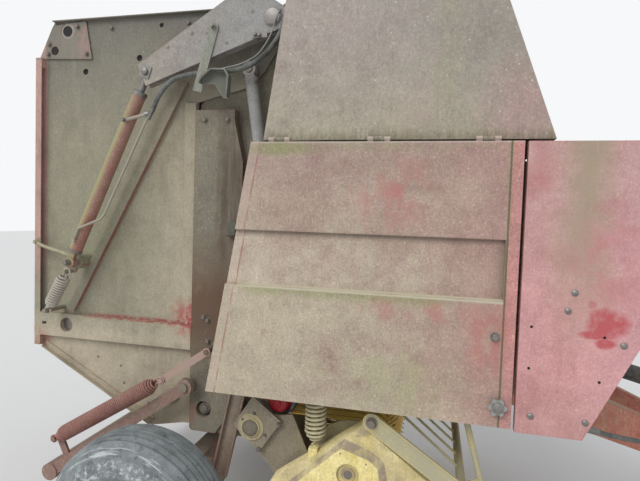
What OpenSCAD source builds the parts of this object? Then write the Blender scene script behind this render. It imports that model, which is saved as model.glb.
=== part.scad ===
// Round baler with a belt chamber, towed behind a tractor.
// X runs forward, Y to the left and Z up. The origin is on the ground at the middle of the machine.

/* [Overall] */
// From the axle forward to the end of the hitch
hitch_reach = 3100; // [3000:10:3200]
// From the axle back to the rear edge of the tailgate
gate_reach = 940; // [930:1:960]
// Height of the upper side panels
top_z = 2800; // [2760:10:2840]
// Inner face of a main side sheet, from the middle
chamber_half = 588; // [580:1:590]
// Thickness of a main side sheet
sheet_t = 6; // [4:1:6]
// From a main side sheet out to the outer face of the hinged shields
shield_gap = 286; // [280:1:296]

/* [Wheels] */
// Radius of a tyre
tyre_r = 385; // [375:1:390]
// Width of a tyre
tyre_w = 260; // [240:2:270]
// From the outer face of the shields out to the middle of a tyre
tyre_gap = 180; // [170:1:195]
// Radius of the bead seat of a rim
bead_r = 178; // [170:1:185]
// Side of the square axle tube
axle_side = 100; // [80:1:110]

/* [Tailgate] */
// Bottom corner height at the rear of the tailgate
gate_low = 938; // [930:1:960]
// From the tailgate's top edge up to the top of the upper panels
gate_drop = 109; // [100:1:120]
// Gap between the tailgate and the main frame
gate_gap = 8; // [6:1:10]
// Thickness of a tailgate side sheet
gate_t = 6; // [4:1:6]
// Depth of the ribs and rails that stand out of it
rib_d = 34; // [25:1:36]

/* [Belts and rolls] */
// Number of belts side by side
belt_count = 6; // [4:1:7]
// Width of a belt
belt_w = 160; // [120:1:160]
// Gap between two belts
belt_gap = 28; // [24:1:28]
// Thickness of a belt
belt_t = 7; // [5:1:8]

/* [Pickup] */
// Radius at the tips of the tines
tine_tip_r = 265; // [250:1:268]
// Radius of the outside of the stripper bands
band_r = 195; // [185:1:200]
// Distance from tine to tine along the reel
tine_pitch = 64; // [60:1:66]
// Number of tines on a bar
tine_count = 20; // [16:1:20]
// Number of tine bars round the reel
bar_count = 4; // [3:1:5]

/* [Hitch] */
// Height of the middle of the hitch
hitch_z = 450; // [430:1:470]
// Diameter of the hitch pin hole
pin_d = 32; // [25:1:35]
// Space between the two hitch plates
clevis_gap = 52; // [45:1:60]
// Bore of the yoke that goes on the tractor's shaft
pto_bore_d = 35; // [30:1:36]

/* [Hidden] */
$fn = 48;

red = "#9a5648";
khaki = "#8d8468";
yellow = "#b39a3a";
steel = "#8f908c";
black = "#2b2b2a";

// Points in the side view are [x, z], with x from the axle.
mid_x = (hitch_reach - gate_reach) / 2;
gate_top = top_z - gate_drop;
sheet_y = chamber_half + sheet_t;
gate_y = sheet_y + 6;
rib_y = gate_y + gate_t;
shield_y = sheet_y + shield_gap;
track_half = shield_y + tyre_gap;
reel_half = chamber_half + 52;
// Outer face of the rear posts
post_y = sheet_y + 56;
// Middles of the springs, cylinders and chains, and the inner faces of the levers and arms
lift_y = sheet_y + 74;
density_y = sheet_y + 128;
tension_y = sheet_y + 136;
flotation_y = sheet_y + 164;
ramp_spring_y = sheet_y + 166;
upper_chain_y = sheet_y + 46;
front_chain_y = sheet_y + 106;
ramp_y = sheet_y + 112;
cover_y = sheet_y + 106;
guard_y = sheet_y + 214;
// The tailgate turns about this line, and heights near its top are taken down from its edge.
hinge = [430, gate_top - 111];
hinge_r = 40;
pickup_pivot = [356, 679];
reel = [850, 560];
ramp_pivot = [20, 845];
ramp_end = [-746, 308];
guard_pivot = [948, 828];
guard_tube = [1330, 577];
guard_rods = 11;
lift_foot = [500, 1150];
lift_eye = [295, gate_top - 311];
tension_foot = [-634, 1423];
tension_eye = [-203, gate_top - 329];
spring_foot = [-778, 1162];
spring_top = [-662, 1372];
gear_front = [1900, 1010];
yoke_end = [hitch_reach - 140, 740];
jack_at = [hitch_reach - 620, 280];
guard_r = 43;
ramp_link = [148, 1039];
ramp_ear = [-698, 504];
ramp_hook = [-90, 876];
flotation_foot = [690, 662];
flotation_top = [690, 935];
hinge_z = 2018;
clevis_t = 24;
pin_x = hitch_reach - 60;
tongue_x = hitch_reach - 220;
// Rear wall of the twine box, and the line that its lid turns about
twine_x = 1620;
lid_hinge = [twine_x - 6, 1998];
lid_hinge_ys = [-600, 0, 600];

hinge_xs = [520, 940, 1360];

// Rolls are [x, z, radius, turn], and a belt goes round a list of them.
frame_loop = [[1080, 1180, 75, 1], [1290, 1900, 50, 1], [1220, top_z - 180, 60, 1], [620, top_z - 150, 60, 1]];
gate_loop = [[-764, gate_top - 55, 45, 1], [-735, 1071, 50, 1], [-120, 760, 50, 1],
    [-60, gate_top - 131, 45, 1]];
// Rolls without a belt are [x, z, radius].
bare_rolls = [[84, 714, 50], [420, 800, 95], [900, 1040, 85]];
// A chain goes round sprockets [x, z, radius, turn].
gear_shaft = [1700, 1040];
front_chain = [[1080, 1180, 90, 1], [gear_shaft[0], gear_shaft[1], 60, 1]];
upper_chain = [[1080, 1180, 70, 1], [1220, top_z - 180, 80, 1]];
// The hose leaves its clip on the tongue, sags and ends in a holder, through points [x, y, z].
hose_d = 22;
hose_points = [[1873.3, -500, 790], [1905, -499, 785], [1950, -488, 772], [2010, -465, 757], [2085, -436, 740],
    [2170, -402, 722], [2250, -365, 706], [2330, -325, 692], [2410, -283, 680], [2480, -245, 674],
    [2540, -210, 674], [2590, -178, 677], [2630, -150, 681], [2660, -130, 686], [2684.7, -118, 690]];

module from_axle() { translate([-mid_x, 0, 0]) children(); }

module both_sides() {
    children();
    mirror([0, 1, 0]) children();
}

// A plate whose outline is drawn in the side view, from y to y + t
module plate(y, t) {
    translate([0, y + t, 0]) rotate([90, 0, 0]) linear_extrude(t) children();
}

// A round bar across the machine at the point p
module cross_rod(p, r, y0, y1) {
    translate([p[0], y1, p[1]]) rotate([90, 0, 0]) cylinder(h = y1 - y0, r = r);
}

// A flat bar from a to b, w wide in the side view, from y to y + t
module flat_bar(a, b, w, y, t) {
    run = b - a;
    translate([a[0], y, a[1]]) rotate([0, -atan2(run[1], run[0]), 0])
        translate([0, 0, -w / 2]) cube([norm(run), t, w]);
}

// Children drawn along Z are laid from a towards b in the plane y.
module along(a, b, y) {
    run = b - a;
    translate([a[0], y, a[1]]) rotate([0, 90 - atan2(run[1], run[0]), 0]) children();
}

// A bent tube through points [x, z] in the plane y
module pipe(points, r, y) {
    for (i = [1:len(points) - 1]) {
        along(points[i - 1], points[i], y) cylinder(h = norm(points[i] - points[i - 1]), r = r);
        translate([points[i][0], y, points[i][1]]) sphere(r = r + 0.6);
    }
}

// A box given by its lowest and highest corners
module box(low, high) { translate(low) cube(high - low); }

// Direction of the run between two rolls, and where it leaves a roll
function run_dir(a, b) = atan2(b[1] - a[1], b[0] - a[0])
    - asin((b[3] * b[2] - a[3] * a[2]) / norm([b[0] - a[0], b[1] - a[1]]));
function run_point(a, dir) = [a[0] + a[3] * a[2] * sin(dir), a[1] - a[3] * a[2] * cos(dir)];
function turned(a) = a - 360 * floor(a / 360);

// Points round the rolls of a loop, a distance off their surface, with an arc at each roll whose
// flats stay off it
function loop_points(loop, off) = let (n = len(loop), c = [for (k = loop) [k[0], k[1], (k[2] + off) / cos(6), k[3]]])
    [for (i = [0:n - 1])
        let (into = run_dir(c[(i + n - 1) % n], c[i]), sweep = turned(run_dir(c[i], c[(i + 1) % n]) - into),
            steps = ceil(sweep / 12))
        for (k = [0:steps]) run_point(c[i], into + sweep * k / steps)];

// A closed belt or chain, t thick, round the rolls of a loop, from y to y + w
module closed_belt(loop, t, y, w) {
    plate(y, w) difference() {
        polygon(loop_points(loop, t));
        polygon(loop_points(loop, 0.2));
    }
}

// A coil spring from a to b as one solid with the outline of its coils, with a rod and a ring at each end
module spring(a, b, y, r, wire, pitch, lead, pin_r) {
    length = norm(b - a);
    turns = floor((length - 2 * lead) / pitch);
    start = (length - turns * pitch) / 2;
    along(a, b, y) {
        translate([0, 0, start]) rotate_extrude() polygon(concat([[0, 0]],
            [for (i = [0:2 * turns]) [i % 2 == 0 ? r - wire / 2 : r, i * pitch / 2]], [[0, turns * pitch]]));
        translate([0, 0, pin_r + 3]) cylinder(h = start - pin_r, r = 6);
        translate([0, 0, length - start - 1]) cylinder(h = start - pin_r - 2, r = 6);
    }
    for (p = [a, b]) difference() {
        cross_rod(p, pin_r + 8, y - 5, y + 5);
        cross_rod(p, pin_r + 0.2, y - 6, y + 6);
    }
}

module main_outline() {
    polygon([[gate_gap, 600], [420, 600], [520, 740], [560, 900], [1300, 900], [1560, 1080],
        [1560, 1950], [1500, 2010], [1330, top_z - 50], [500, top_z - 50], [360, gate_top - 31],
        [300, gate_top - 151], [gate_gap, gate_top - 456]]);
}

module post_outline() {
    polygon([[gate_gap, 612], [20, 600], [150, 600], [262, 760], [262, 1950], [215, gate_top - 541],
        [215, gate_top - 491], [gate_gap, gate_top - 491]]);
}

module main_frame() {
    color(khaki) from_axle() {
        both_sides() {
            difference() {
                union() {
                    plate(chamber_half, sheet_t) main_outline();
                    cross_rod(hinge, 75, chamber_half - 28, sheet_y);
                }
                cross_rod(hinge, hinge_r + 1, chamber_half - 88, sheet_y + 1);
            }
            difference() {
                plate(sheet_y - 1, post_y + 1 - sheet_y) post_outline();
                cross_rod(bare_rolls[0], 40, sheet_y, post_y + 1);
            }
            // Roll bearings
            cross_rod(bare_rolls[0], 24, sheet_y - 1, post_y - 16);
            for (c = concat(frame_loop, [bare_rolls[1], bare_rolls[2]])) {
                cross_rod(c, 46, sheet_y - 1, sheet_y + 10);
                cross_rod(c, 30, sheet_y + 9, sheet_y + 22);
            }
            box([140, sheet_y - 1, 600], [420, post_y - 10, 640]);
            box([1500, sheet_y, 1080], [1560, post_y + 10, 1920]);
            cross_rod(pickup_pivot, 30, sheet_y, ramp_y + 4);
            cross_rod(ramp_pivot, 22, post_y - 1, ramp_y + 42);
            cross_rod(lift_foot, 36, sheet_y, lift_y - 18.3);
            cross_rod(ramp_link, 12, sheet_y, ramp_spring_y + 8);
            box([670, sheet_y, 915], [710, flotation_y - 6, 955]);
            cross_rod(flotation_top, 8, flotation_y - 7, flotation_y + 12);
        }
    }
}

module cross_members() {
    color(khaki) from_axle() {
        box([1440, -chamber_half, 940], [1560, chamber_half, 1060]);
        for (p = [[250, 640], [1290, top_z - 85], [480, top_z - 80]]) cross_rod(p, 30, -chamber_half, chamber_half);
    }
}

module shield_brackets() {
    color(khaki) from_axle() both_sides() {
        for (z = [1480, 1880]) box([1560, sheet_y, z], [twine_x, sheet_y + 46, z + 30]);
        for (p = [[620, 2100], [1380, 2100], [700, top_z - 110], [1290, top_z - 65]])
            box([p[0] - 15, sheet_y, p[1] - 15], [p[0] + 15, shield_y - 19, p[1] + 15]);
        for (z = [1250, 1430]) box([1525, post_y + 10, z - 15], [1555, shield_y - 4, z + 15]);
    }
}

module axle() {
    color(red) from_axle() {
        half = axle_side / 2;
        box([-half, -shield_y - 20, tyre_r - half], [half, shield_y + 20, tyre_r + half]);
        cross_rod([0, tyre_r], 30, -track_half - 40, track_half + 40);
        both_sides() {
            plate(post_y - 10, 14) polygon([[-60, tyre_r - 70], [200, tyre_r - 30], [230, 450], [120, 470], [-60, 450]]);
            difference() {
                flat_bar([276, 840], [184, 400], 80, post_y, 26);
                flat_bar([278, 850], [182, 390], 62, post_y + 7, 30);
            }
        }
    }
}

// One leg of the tongue as a box that narrows to the hitch
module tongue_leg() {
    hull() {
        box([1560, 380, 850], [1562, 470, 1050]);
        box([tongue_x - 2, 30, hitch_z - 60], [tongue_x, 110, hitch_z + 60]);
    }
}

module tongue() {
    color(red) from_axle() {
        both_sides() tongue_leg();
        box([1660, -360, 862], [1880, 360, 880]);
        box([tongue_x - 10, -112, hitch_z - 62], [tongue_x + 10, 112, hitch_z + 62]);
        box([jack_at[0] - 40, 180, 565], [jack_at[0] + 40, 232, 665]);
        // Clip of the hose, and the post that carries the driveline and the hose's holder
        box([1836, -520, 780], [1860, -330, 800]);
        translate([1834, hose_points[0][1], hose_points[0][2]]) rotate([0, 90, 0]) cylinder(h = 28, r = 18);
        box([tongue_x - 168, -130, 590], [tongue_x - 142, -106, 700]);
        translate([tongue_x - 184, -118, 690]) rotate([0, 90, 0]) cylinder(h = 18, r = 17);
        difference() {
            union() {
                box([tongue_x - 175, -130, 545], [tongue_x - 135, 130, 600]);
                box([tongue_x - 168, -22, 590], [tongue_x - 142, 22, 775]);
            }
            along(gear_front, yoke_end, 0) cylinder(h = 1000, r = guard_r);
        }
    }
}

module hitch_clevis() {
    color(steel) from_axle() difference() {
        union() {
            box([tongue_x + 10, -60, hitch_z - 50], [tongue_x + 60, 60, hitch_z + 50]);
            for (z = [hitch_z - clevis_gap / 2 - clevis_t, hitch_z + clevis_gap / 2]) {
                box([tongue_x + 50, -60, z], [pin_x, 60, z + clevis_t]);
                translate([pin_x, 0, z]) cylinder(h = clevis_t, r = 60);
            }
        }
        translate([pin_x, 0, 0]) cylinder(h = 1000, d = pin_d);
    }
}

module gearbox() {
    color(khaki) from_axle() {
        box([1640, -130, 880], [gear_front[0], 130, 1140]);
        along(gear_front, yoke_end, 0) {
            translate([0, 0, -40]) cylinder(h = 60, r = 50);
        }
    }
}

module frame_rolls() {
    color(steel) from_axle() {
        for (c = concat(frame_loop, bare_rolls)) cross_rod(c, c[2], -chamber_half + 6, chamber_half - 6);
        for (c = concat(frame_loop, bare_rolls)) both_sides() cross_rod(c, 20, chamber_half - 7, chamber_half);
    }
}

module belts(loop) {
    step = belt_w + belt_gap;
    for (i = [0:belt_count - 1])
        closed_belt(loop, belt_t, (i - belt_count / 2) * step + belt_gap / 2, belt_w);
}

module frame_belts() { color(black) from_axle() belts(frame_loop); }

// A sprocket with a tooth for about every 40 mm of its rim
module sprocket(c, y) {
    teeth = floor(c[2] * 2 * PI / 40);
    difference() {
        cross_rod(c, c[2], y - 6, y + 6);
        for (i = [0:teeth - 1])
            cross_rod([c[0], c[1]] + (c[2] - 1) * [cos(i * 360 / teeth), sin(i * 360 / teeth)], 7, y - 7, y + 7);
    }
    cross_rod(c, 38, y - 16, y + 12);
}

module side_drives() {
    color(steel) from_axle() {
        for (c = front_chain) sprocket(c, front_chain_y);
        for (c = upper_chain) sprocket(c, upper_chain_y);
        cross_rod(gear_shaft, 30, 130, front_chain_y + 30);
        cross_rod(front_chain[0], 25, sheet_y + 22, front_chain_y + 30);
        cross_rod(upper_chain[1], 25, sheet_y + 22, upper_chain_y + 30);
    }
}

module drive_chains() {
    color(steel) from_axle() {
        closed_belt(front_chain, 14, front_chain_y - 8, 16);
        closed_belt(upper_chain, 14, upper_chain_y - 8, 16);
    }
}

module upper_panels() {
    color(red) from_axle() both_sides() {
        plate(shield_y - 19, 4) polygon([[443, 2016], [1603, 2016], [1318, top_z], [557, top_z]]);
        flat_bar([445, 2018], [559, top_z - 2], 4, shield_y - 47, 31);
        for (x = hinge_xs) {
            box([x - 20, shield_y - 15, 2016], [x + 20, shield_y - 2, 2021]);
            translate([x - 20, shield_y, hinge_z]) rotate([0, 90, 0]) cylinder(h = 40, r = 8);
            translate([x - 50, shield_y, hinge_z]) rotate([0, 90, 0]) cylinder(h = 100, r = 4);
        }
    }
}

module front_shields() {
    color(red) from_axle() both_sides() {
        plate(shield_y - 4, 4)
            polygon([[1505, 890], [1744, 890], [2012, 1450], [2012, 1900], [1930, 2006], [1505, 2006]]);
        box([1505, shield_y - 34, 890], [1509, shield_y - 1, 2006]);
        box([1505, shield_y - 34, 890], [1740, shield_y - 1, 894]);
        flat_bar([1742, 893], [2008, 1449], 5, shield_y - 34, 33);
    }
}

module front_hood() {
    color(red) from_axle() plate(19 - shield_y, 2 * (shield_y - 19)) polygon([[1603, 2016], [1318, top_z],
        [1313, top_z], [1598, 2016]]);
}

module twine_box() {
    color(red) from_axle() {
        difference() {
            box([twine_x, 4 - shield_y, 1460], [twine_x + 325, shield_y - 4, 1990]);
            box([twine_x + 5, 10 - shield_y, 1465], [twine_x + 320, shield_y - 10, 1991]);
        }
        for (y = lid_hinge_ys) {
            cross_rod(lid_hinge, 3, y - 44, y + 44);
            for (s = [-1, 1]) {
                cross_rod(lid_hinge, 6, y + s * 33 - 11, y + s * 33 + 11);
                box([twine_x - 12, y + s * 33 - 11, 1970], [twine_x, y + s * 33 + 11, lid_hinge[1]]);
            }
        }
    }
}

module twine_lid() {
    color(red) from_axle() {
        box([twine_x + 1, 8 - shield_y, 1990.3], [twine_x + 325, shield_y - 8, 1998]);
        for (y = lid_hinge_ys) difference() {
            union() {
                cross_rod(lid_hinge, 6, y - 20, y + 20);
                box([twine_x - 6, y - 20, 1993], [twine_x + 10, y + 20, 1998]);
            }
            cross_rod(lid_hinge, 3.3, y - 21, y + 21);
        }
    }
}

module jack_tube() {
    color(red) from_axle() {
        translate([jack_at[0], jack_at[1], 0]) difference() {
            union() {
                translate([0, 0, 268]) cylinder(h = 632, r = 36);
                box([-40, -48, 560], [40, -20, 700]);
            }
            translate([0, 0, 260]) cylinder(h = 620, r = 28.3);
        }
        // Crank
        crank = [jack_at[0], 890];
        cross_rod(crank, 9, jack_at[1] + 20, jack_at[1] + 100);
        box([crank[0] - 8, jack_at[1] + 92, crank[1] - 12], [crank[0] + 8, jack_at[1] + 102, crank[1] + 120]);
        cross_rod([crank[0], crank[1] + 108], 12, jack_at[1] + 100, jack_at[1] + 190);
    }
}

module jack_leg() {
    color(steel) from_axle() translate([jack_at[0], jack_at[1], 0]) {
        cylinder(h = 12, r = 100);
        cylinder(h = 560, r = 28);
    }
}

module driveline_guard() {
    length = norm(yoke_end - gear_front);
    color(black) from_axle() along(gear_front, yoke_end, 0) rotate_extrude() {
        translate([38, 150]) square([5, length - 325]);
        polygon([[38, 150], [38, 145], [75, 45], [80, 45], [43, 152]]);
        polygon([[38, length - 175], [38, length - 170], [75, length - 70], [80, length - 70], [43, length - 177]]);
    }
}

module driveline_shaft() {
    length = norm(yoke_end - gear_front);
    color(steel) from_axle() along(gear_front, yoke_end, 0) difference() {
        union() {
            translate([0, 0, 20.3]) cylinder(h = length - 20.3, r = 26);
            translate([0, 0, 20.3]) cylinder(h = 70, r = 36);
            translate([0, 0, length - 70]) cylinder(h = 70, r = 36);
        }
        translate([0, 0, length - 60]) cylinder(h = 61, d = pto_bore_d);
    }
}

module tyre(side) {
    color(black) from_axle() translate([0, side * track_half, tyre_r]) rotate([90, 0, 0])
        rotate_extrude($fn = 96) difference() {
            w = tyre_w / 2;
            polygon([for (s = [-1, 1]) each [for (p = s < 0
                ? [[bead_r, 94.7], [196, 94.7], [204, 112], [240, w - 4], [290, w], [335, w - 6], [362, w - 22], [tyre_r - 8, w - 40],
                    [tyre_r, w - 70]]
                : [[tyre_r, w - 70], [tyre_r - 8, w - 40], [362, w - 22], [335, w - 6], [290, w], [240, w - 4],
                    [204, 112], [196, 94.7], [bead_r, 94.7]]) [p[0], s * p[1]]]]);
            for (y = [-50, 0, 50]) translate([tyre_r - 10, y - 6]) square([20, 12]);
        }
}

module rim(side) {
    color(red) from_axle() translate([0, side * track_half, tyre_r]) rotate([-90 * side, 0, 0]) difference() {
        rotate_extrude() {
            translate([bead_r - 12, -100]) square([12, 200]);
            for (s = [-1, 1]) translate([bead_r - 12, s * 99 - 4]) square([28, 8]);
            translate([50, 20]) square([bead_r - 60, 8]);
            translate([30.3, -60]) square([34.7, 120]);
            translate([0, 50]) square([40, 30]);
        }
        for (a = [0:60:300]) rotate([0, 0, a]) translate([118, 0, 10]) cylinder(h = 30, r = 17);
    }
}

module hydraulic_hose() {
    color(black) from_axle() for (i = [1:len(hose_points) - 1]) hull()
        for (p = [hose_points[i - 1], hose_points[i]]) translate(p) sphere(d = hose_d, $fn = 12);
}

module tyre_left() { tyre(1); }
module tyre_right() { tyre(-1); }
module rim_left() { rim(1); }
module rim_right() { rim(-1); }

module gate_outline() {
    polygon([[-gate_reach, gate_low + 10], [-922, gate_low], [-230, 575], [-60, 610], [0, 615],
        [0, gate_top - 444], [280, gate_top - 373], [350, gate_top - 299], [420, gate_top - 186],
        [480, gate_top - 131], [480, gate_top - 81], [430, gate_top - 36], [300, gate_top], [-852, gate_top],
        [-gate_reach, gate_top - 194]]);
}

module tailgate() {
    color(khaki) from_axle() {
        both_sides() {
            difference() {
                union() {
                    plate(gate_y, gate_t) gate_outline();
                    cross_rod(hinge, 72, gate_y, gate_y + 40);
                    // Corner bracket
                    plate(rib_y - 1, 11) polygon([[-937, gate_top - 192], [-855, gate_top - 23],
                        [-652, gate_top - 9], [-613, gate_top - 206]]);
                }
                cross_rod(hinge, hinge_r + 1, gate_y - 1, gate_y + 50);
                cross_rod(gate_loop[0], 41, gate_y - 1, gate_y + 50);
                cross_rod(gate_loop[1], 38, gate_y - 1, gate_y + 50);
                cross_rod([-842, gate_top - 154], 23, rib_y, gate_y + 50);
                for (p = [[-337, gate_top - 210], [-657, gate_top - 268]]) cross_rod(p, 16, gate_y - 1, rib_y + 20);
                cross_rod([-214, gate_top - 51], 12, gate_y - 1, gate_y + 50);
            }
            // Folded edges
            difference() {
                box([-gate_reach, rib_y, gate_low + 10], [-904, rib_y + rib_d, gate_top - 194]);
                box([-931, rib_y - 1, gate_low + 60], [-903, rib_y + rib_d - 4, gate_top - 244]);
            }
            box([-848, rib_y - 1, gate_top - 5], [290, rib_y + 24, gate_top]);
            flat_bar([-904, 938], [-232, 586], 5, rib_y - 1, 25);
            flat_bar([-880, 962], [-215, 614], 5, rib_y - 1, 13);
            // Lower beam, with bearings of its roll
            difference() {
                box([-904, rib_y, 1004], [0, rib_y + rib_d, 1130]);
                cross_rod(gate_loop[1], 38, gate_y - 1, gate_y + 50);
                box([-890, rib_y + 10, 1064], [-862, rib_y + rib_d + 1, 1080]);
            }
            for (c = [gate_loop[2], gate_loop[3]]) {
                cross_rod(c, 46, rib_y - 1, rib_y + 10);
                cross_rod(c, 28, rib_y + 9, rib_y + 20);
            }
            flat_bar([-717, 1160], [-75, gate_top - 344], 46, rib_y, 24);
            box([-60, rib_y, 1130], [0, rib_y + 24, gate_top - 451]);
            cross_rod(lift_eye, 18, rib_y, lift_y + 26);
            cross_rod(tension_foot, 14, rib_y, tension_y + 28);
            cross_rod(spring_foot, 12, rib_y, density_y + 28);
            cross_rod(tension_foot, 38, rib_y, tension_y - 40);
            flat_bar(tension_foot, spring_top, 36, density_y - 48, 12);
            cross_rod(spring_top, 10, density_y - 46, density_y + 26);
        }
        box([-gate_reach, -gate_y, 1010], [-880, gate_y, 1130]);
        cross_rod([-880, gate_top - 151], 30, -gate_y, gate_y);
        cross_rod([-150, gate_top - 28], 25, -gate_y, gate_y);
    }
}

module tailgate_rolls() {
    color(steel) from_axle() for (c = gate_loop) {
        cross_rod(c, c[2], -gate_y + 8, gate_y - 8);
        both_sides() cross_rod(c, 20, gate_y - 9, gate_y);
    }
    color(steel) from_axle() both_sides() {
        cross_rod(gate_loop[0], 41, gate_y - 9, gate_y + 14);
        cross_rod(gate_loop[1], 38, gate_y - 9, gate_y + 14);
    }
}

module tailgate_belts() { color(black) from_axle() belts(gate_loop); }

module density_springs() {
    color(yellow) from_axle() both_sides()
        spring(spring_foot, spring_top, density_y, 34, 10, 9.6, 26, 12);
}

module tension_arms() {
    color(red) from_axle() {
        cross_rod(hinge, hinge_r, -tension_y - 30, tension_y + 30);
        both_sides() {
            for (y = [-24, 16]) plate(tension_y + y, 8) polygon([[-247, gate_top - 294], [-202, gate_top - 395],
                [362, gate_top - 198], [470, gate_top - 161], [490, gate_top - 71], [400, gate_top - 11],
                [230, gate_top - 1]]);
            for (y = [[-30, -23], [23, 34]])
                cross_rod(tension_eye, 14, tension_y + y[0], tension_y + y[1]);
            flat_bar([-100, gate_top - 353], [350, gate_top - 196], 6, tension_y - 17, 34);
            box([337, tension_y + 22, gate_top - 200], [408, tension_y + 29, gate_top - 178]);
        }
    }
}

module tension_barrels() {
    // Oil pipe from the port at the foot up to the tee at the other end
    oil_pipe = [[-581, 1541], [-556, 1599], [-428, 1650], [-406, 1675], [-189, gate_top - 574],
        [-160, gate_top - 530]];
    color(red) from_axle() both_sides() {
        along(tension_foot, tension_eye, tension_y) difference() {
            translate([0, 0, 60]) cylinder(h = 870, r = 32);
            translate([0, 0, 100]) cylinder(h = 840, r = 17);
        }
        difference() {
            union() {
                cross_rod(tension_foot, 30, tension_y - 15, tension_y + 15);
                along(tension_foot, tension_eye, tension_y) translate([-14, -12, 18]) cube([28, 24, 50]);
            }
            cross_rod(tension_foot, 15, tension_y - 30, tension_y + 30);
        }
        pipe(oil_pipe, 6, tension_y + 42);
        cross_rod(oil_pipe[0], 10, tension_y + 25, tension_y + 50);
        pipe([[-300, gate_top - 560], oil_pipe[5]], 8, tension_y + 42);
        cross_rod([-300, gate_top - 560], 10, tension_y + 25, tension_y + 51);
    }
}

module tension_rods() {
    color(steel) from_axle() both_sides() {
        along(tension_foot, tension_eye, tension_y) translate([0, 0, 300]) cylinder(h = 710, r = 16);
        cross_rod(tension_eye, 30, tension_y - 13, tension_y + 13);
    }
}

// The barrel hangs from the tailgate, and its rod stands on the frame.
module lift_barrels() {
    length = norm(lift_eye - lift_foot);
    color(red) from_axle() both_sides() difference() {
        union() {
            along(lift_foot, lift_eye, lift_y) difference() {
                translate([0, 0, 330]) cylinder(h = length - 370, r = 30);
                translate([0, 0, 320]) cylinder(h = 680, r = 16);
            }
            cross_rod(lift_eye, 34, lift_y - 19, lift_y + 19);
            along(lift_foot, lift_eye, lift_y) translate([-22, -17, length - 60]) cube([44, 34, 50]);
        }
        cross_rod(lift_eye, 18.3, lift_y - 30, lift_y + 30);
    }
}

module lift_rods() {
    color(steel) from_axle() both_sides() {
        along(lift_foot, lift_eye, lift_y) translate([0, 0, 20]) cylinder(h = 880, r = 15);
        cross_rod(lift_foot, 34, lift_y - 18, lift_y + 18);
    }
}

module safety_stops() {
    stop_pin = [150, gate_top - 142];
    stop_end = [72, gate_top - 431];
    color(steel) from_axle() both_sides() {
        flat_bar(stop_pin, stop_end, 44, tension_y + 24, 8);
        cross_rod(stop_pin, 22, tension_y + 24, tension_y + 32);
        cross_rod(stop_pin, 12, tension_y + 24, tension_y + 44);
        // Channel that drops over the cylinder's rod
        difference() {
            plate(tension_y + 31, 38) polygon([[94, gate_top - 400], [104, gate_top - 372], [155, gate_top - 338],
                [226, gate_top - 342], [244, gate_top - 372], [237, gate_top - 470], [207, gate_top - 465],
                [161, gate_top - 401]]);
            plate(tension_y + 36, 40) polygon([[90, gate_top - 420], [110, gate_top - 380], [157, gate_top - 344],
                [221, gate_top - 348], [236, gate_top - 374], [230, gate_top - 480], [207, gate_top - 475],
                [161, gate_top - 411]]);
        }
    }
}

module shield_outline(inset) {
    polygon([[205 + inset, 900 + inset], [1491 - inset, 900 + inset], [1491 - inset, 2007 - inset],
        [393 + inset, 2007 - inset]]);
}

module shield() {
    knob = [1438, 985];
    color(red) from_axle() for (x = hinge_xs, s = [-1, 1]) translate([x + s * 34 - 12, 0, 0]) difference() {
        union() {
            box([0, shield_y - 5, 2004], [24, shield_y, 2016]);
            translate([0, shield_y, hinge_z]) rotate([0, 90, 0]) cylinder(h = 24, r = 8);
        }
        translate([-1, shield_y, hinge_z]) rotate([0, 90, 0]) cylinder(h = 26, r = 4.5);
    }
    color(red) from_axle() difference() {
        plate(shield_y - 40, 40) shield_outline(0);
        difference() {
            plate(shield_y - 41, 37) shield_outline(4);
            box([200, shield_y - 22, 1386], [1500, shield_y, 1634]);
        }
        box([100, shield_y - 18, 1390], [1440, shield_y + 1, 1630]);
    }
    // Latch knob with lobes
    color(steel) from_axle() {
        cross_rod(knob, 14, shield_y - 1, shield_y + 10);
        cross_rod(knob, 27, shield_y + 8, shield_y + 24);
        for (a = [0:60:300]) cross_rod(knob + 25 * [cos(a), sin(a)], 9, shield_y + 7, shield_y + 25);
    }
}

module shield_left() { shield(); }
module shield_right() { mirror([0, 1, 0]) shield(); }

module cover_outline(inset) {
    offset(delta = -inset) polygon([[496, 492], [920, 806], [938, 782], [1184, 600], [1215, 556], [640, 400],
        [520, 420]]);
}

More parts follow.
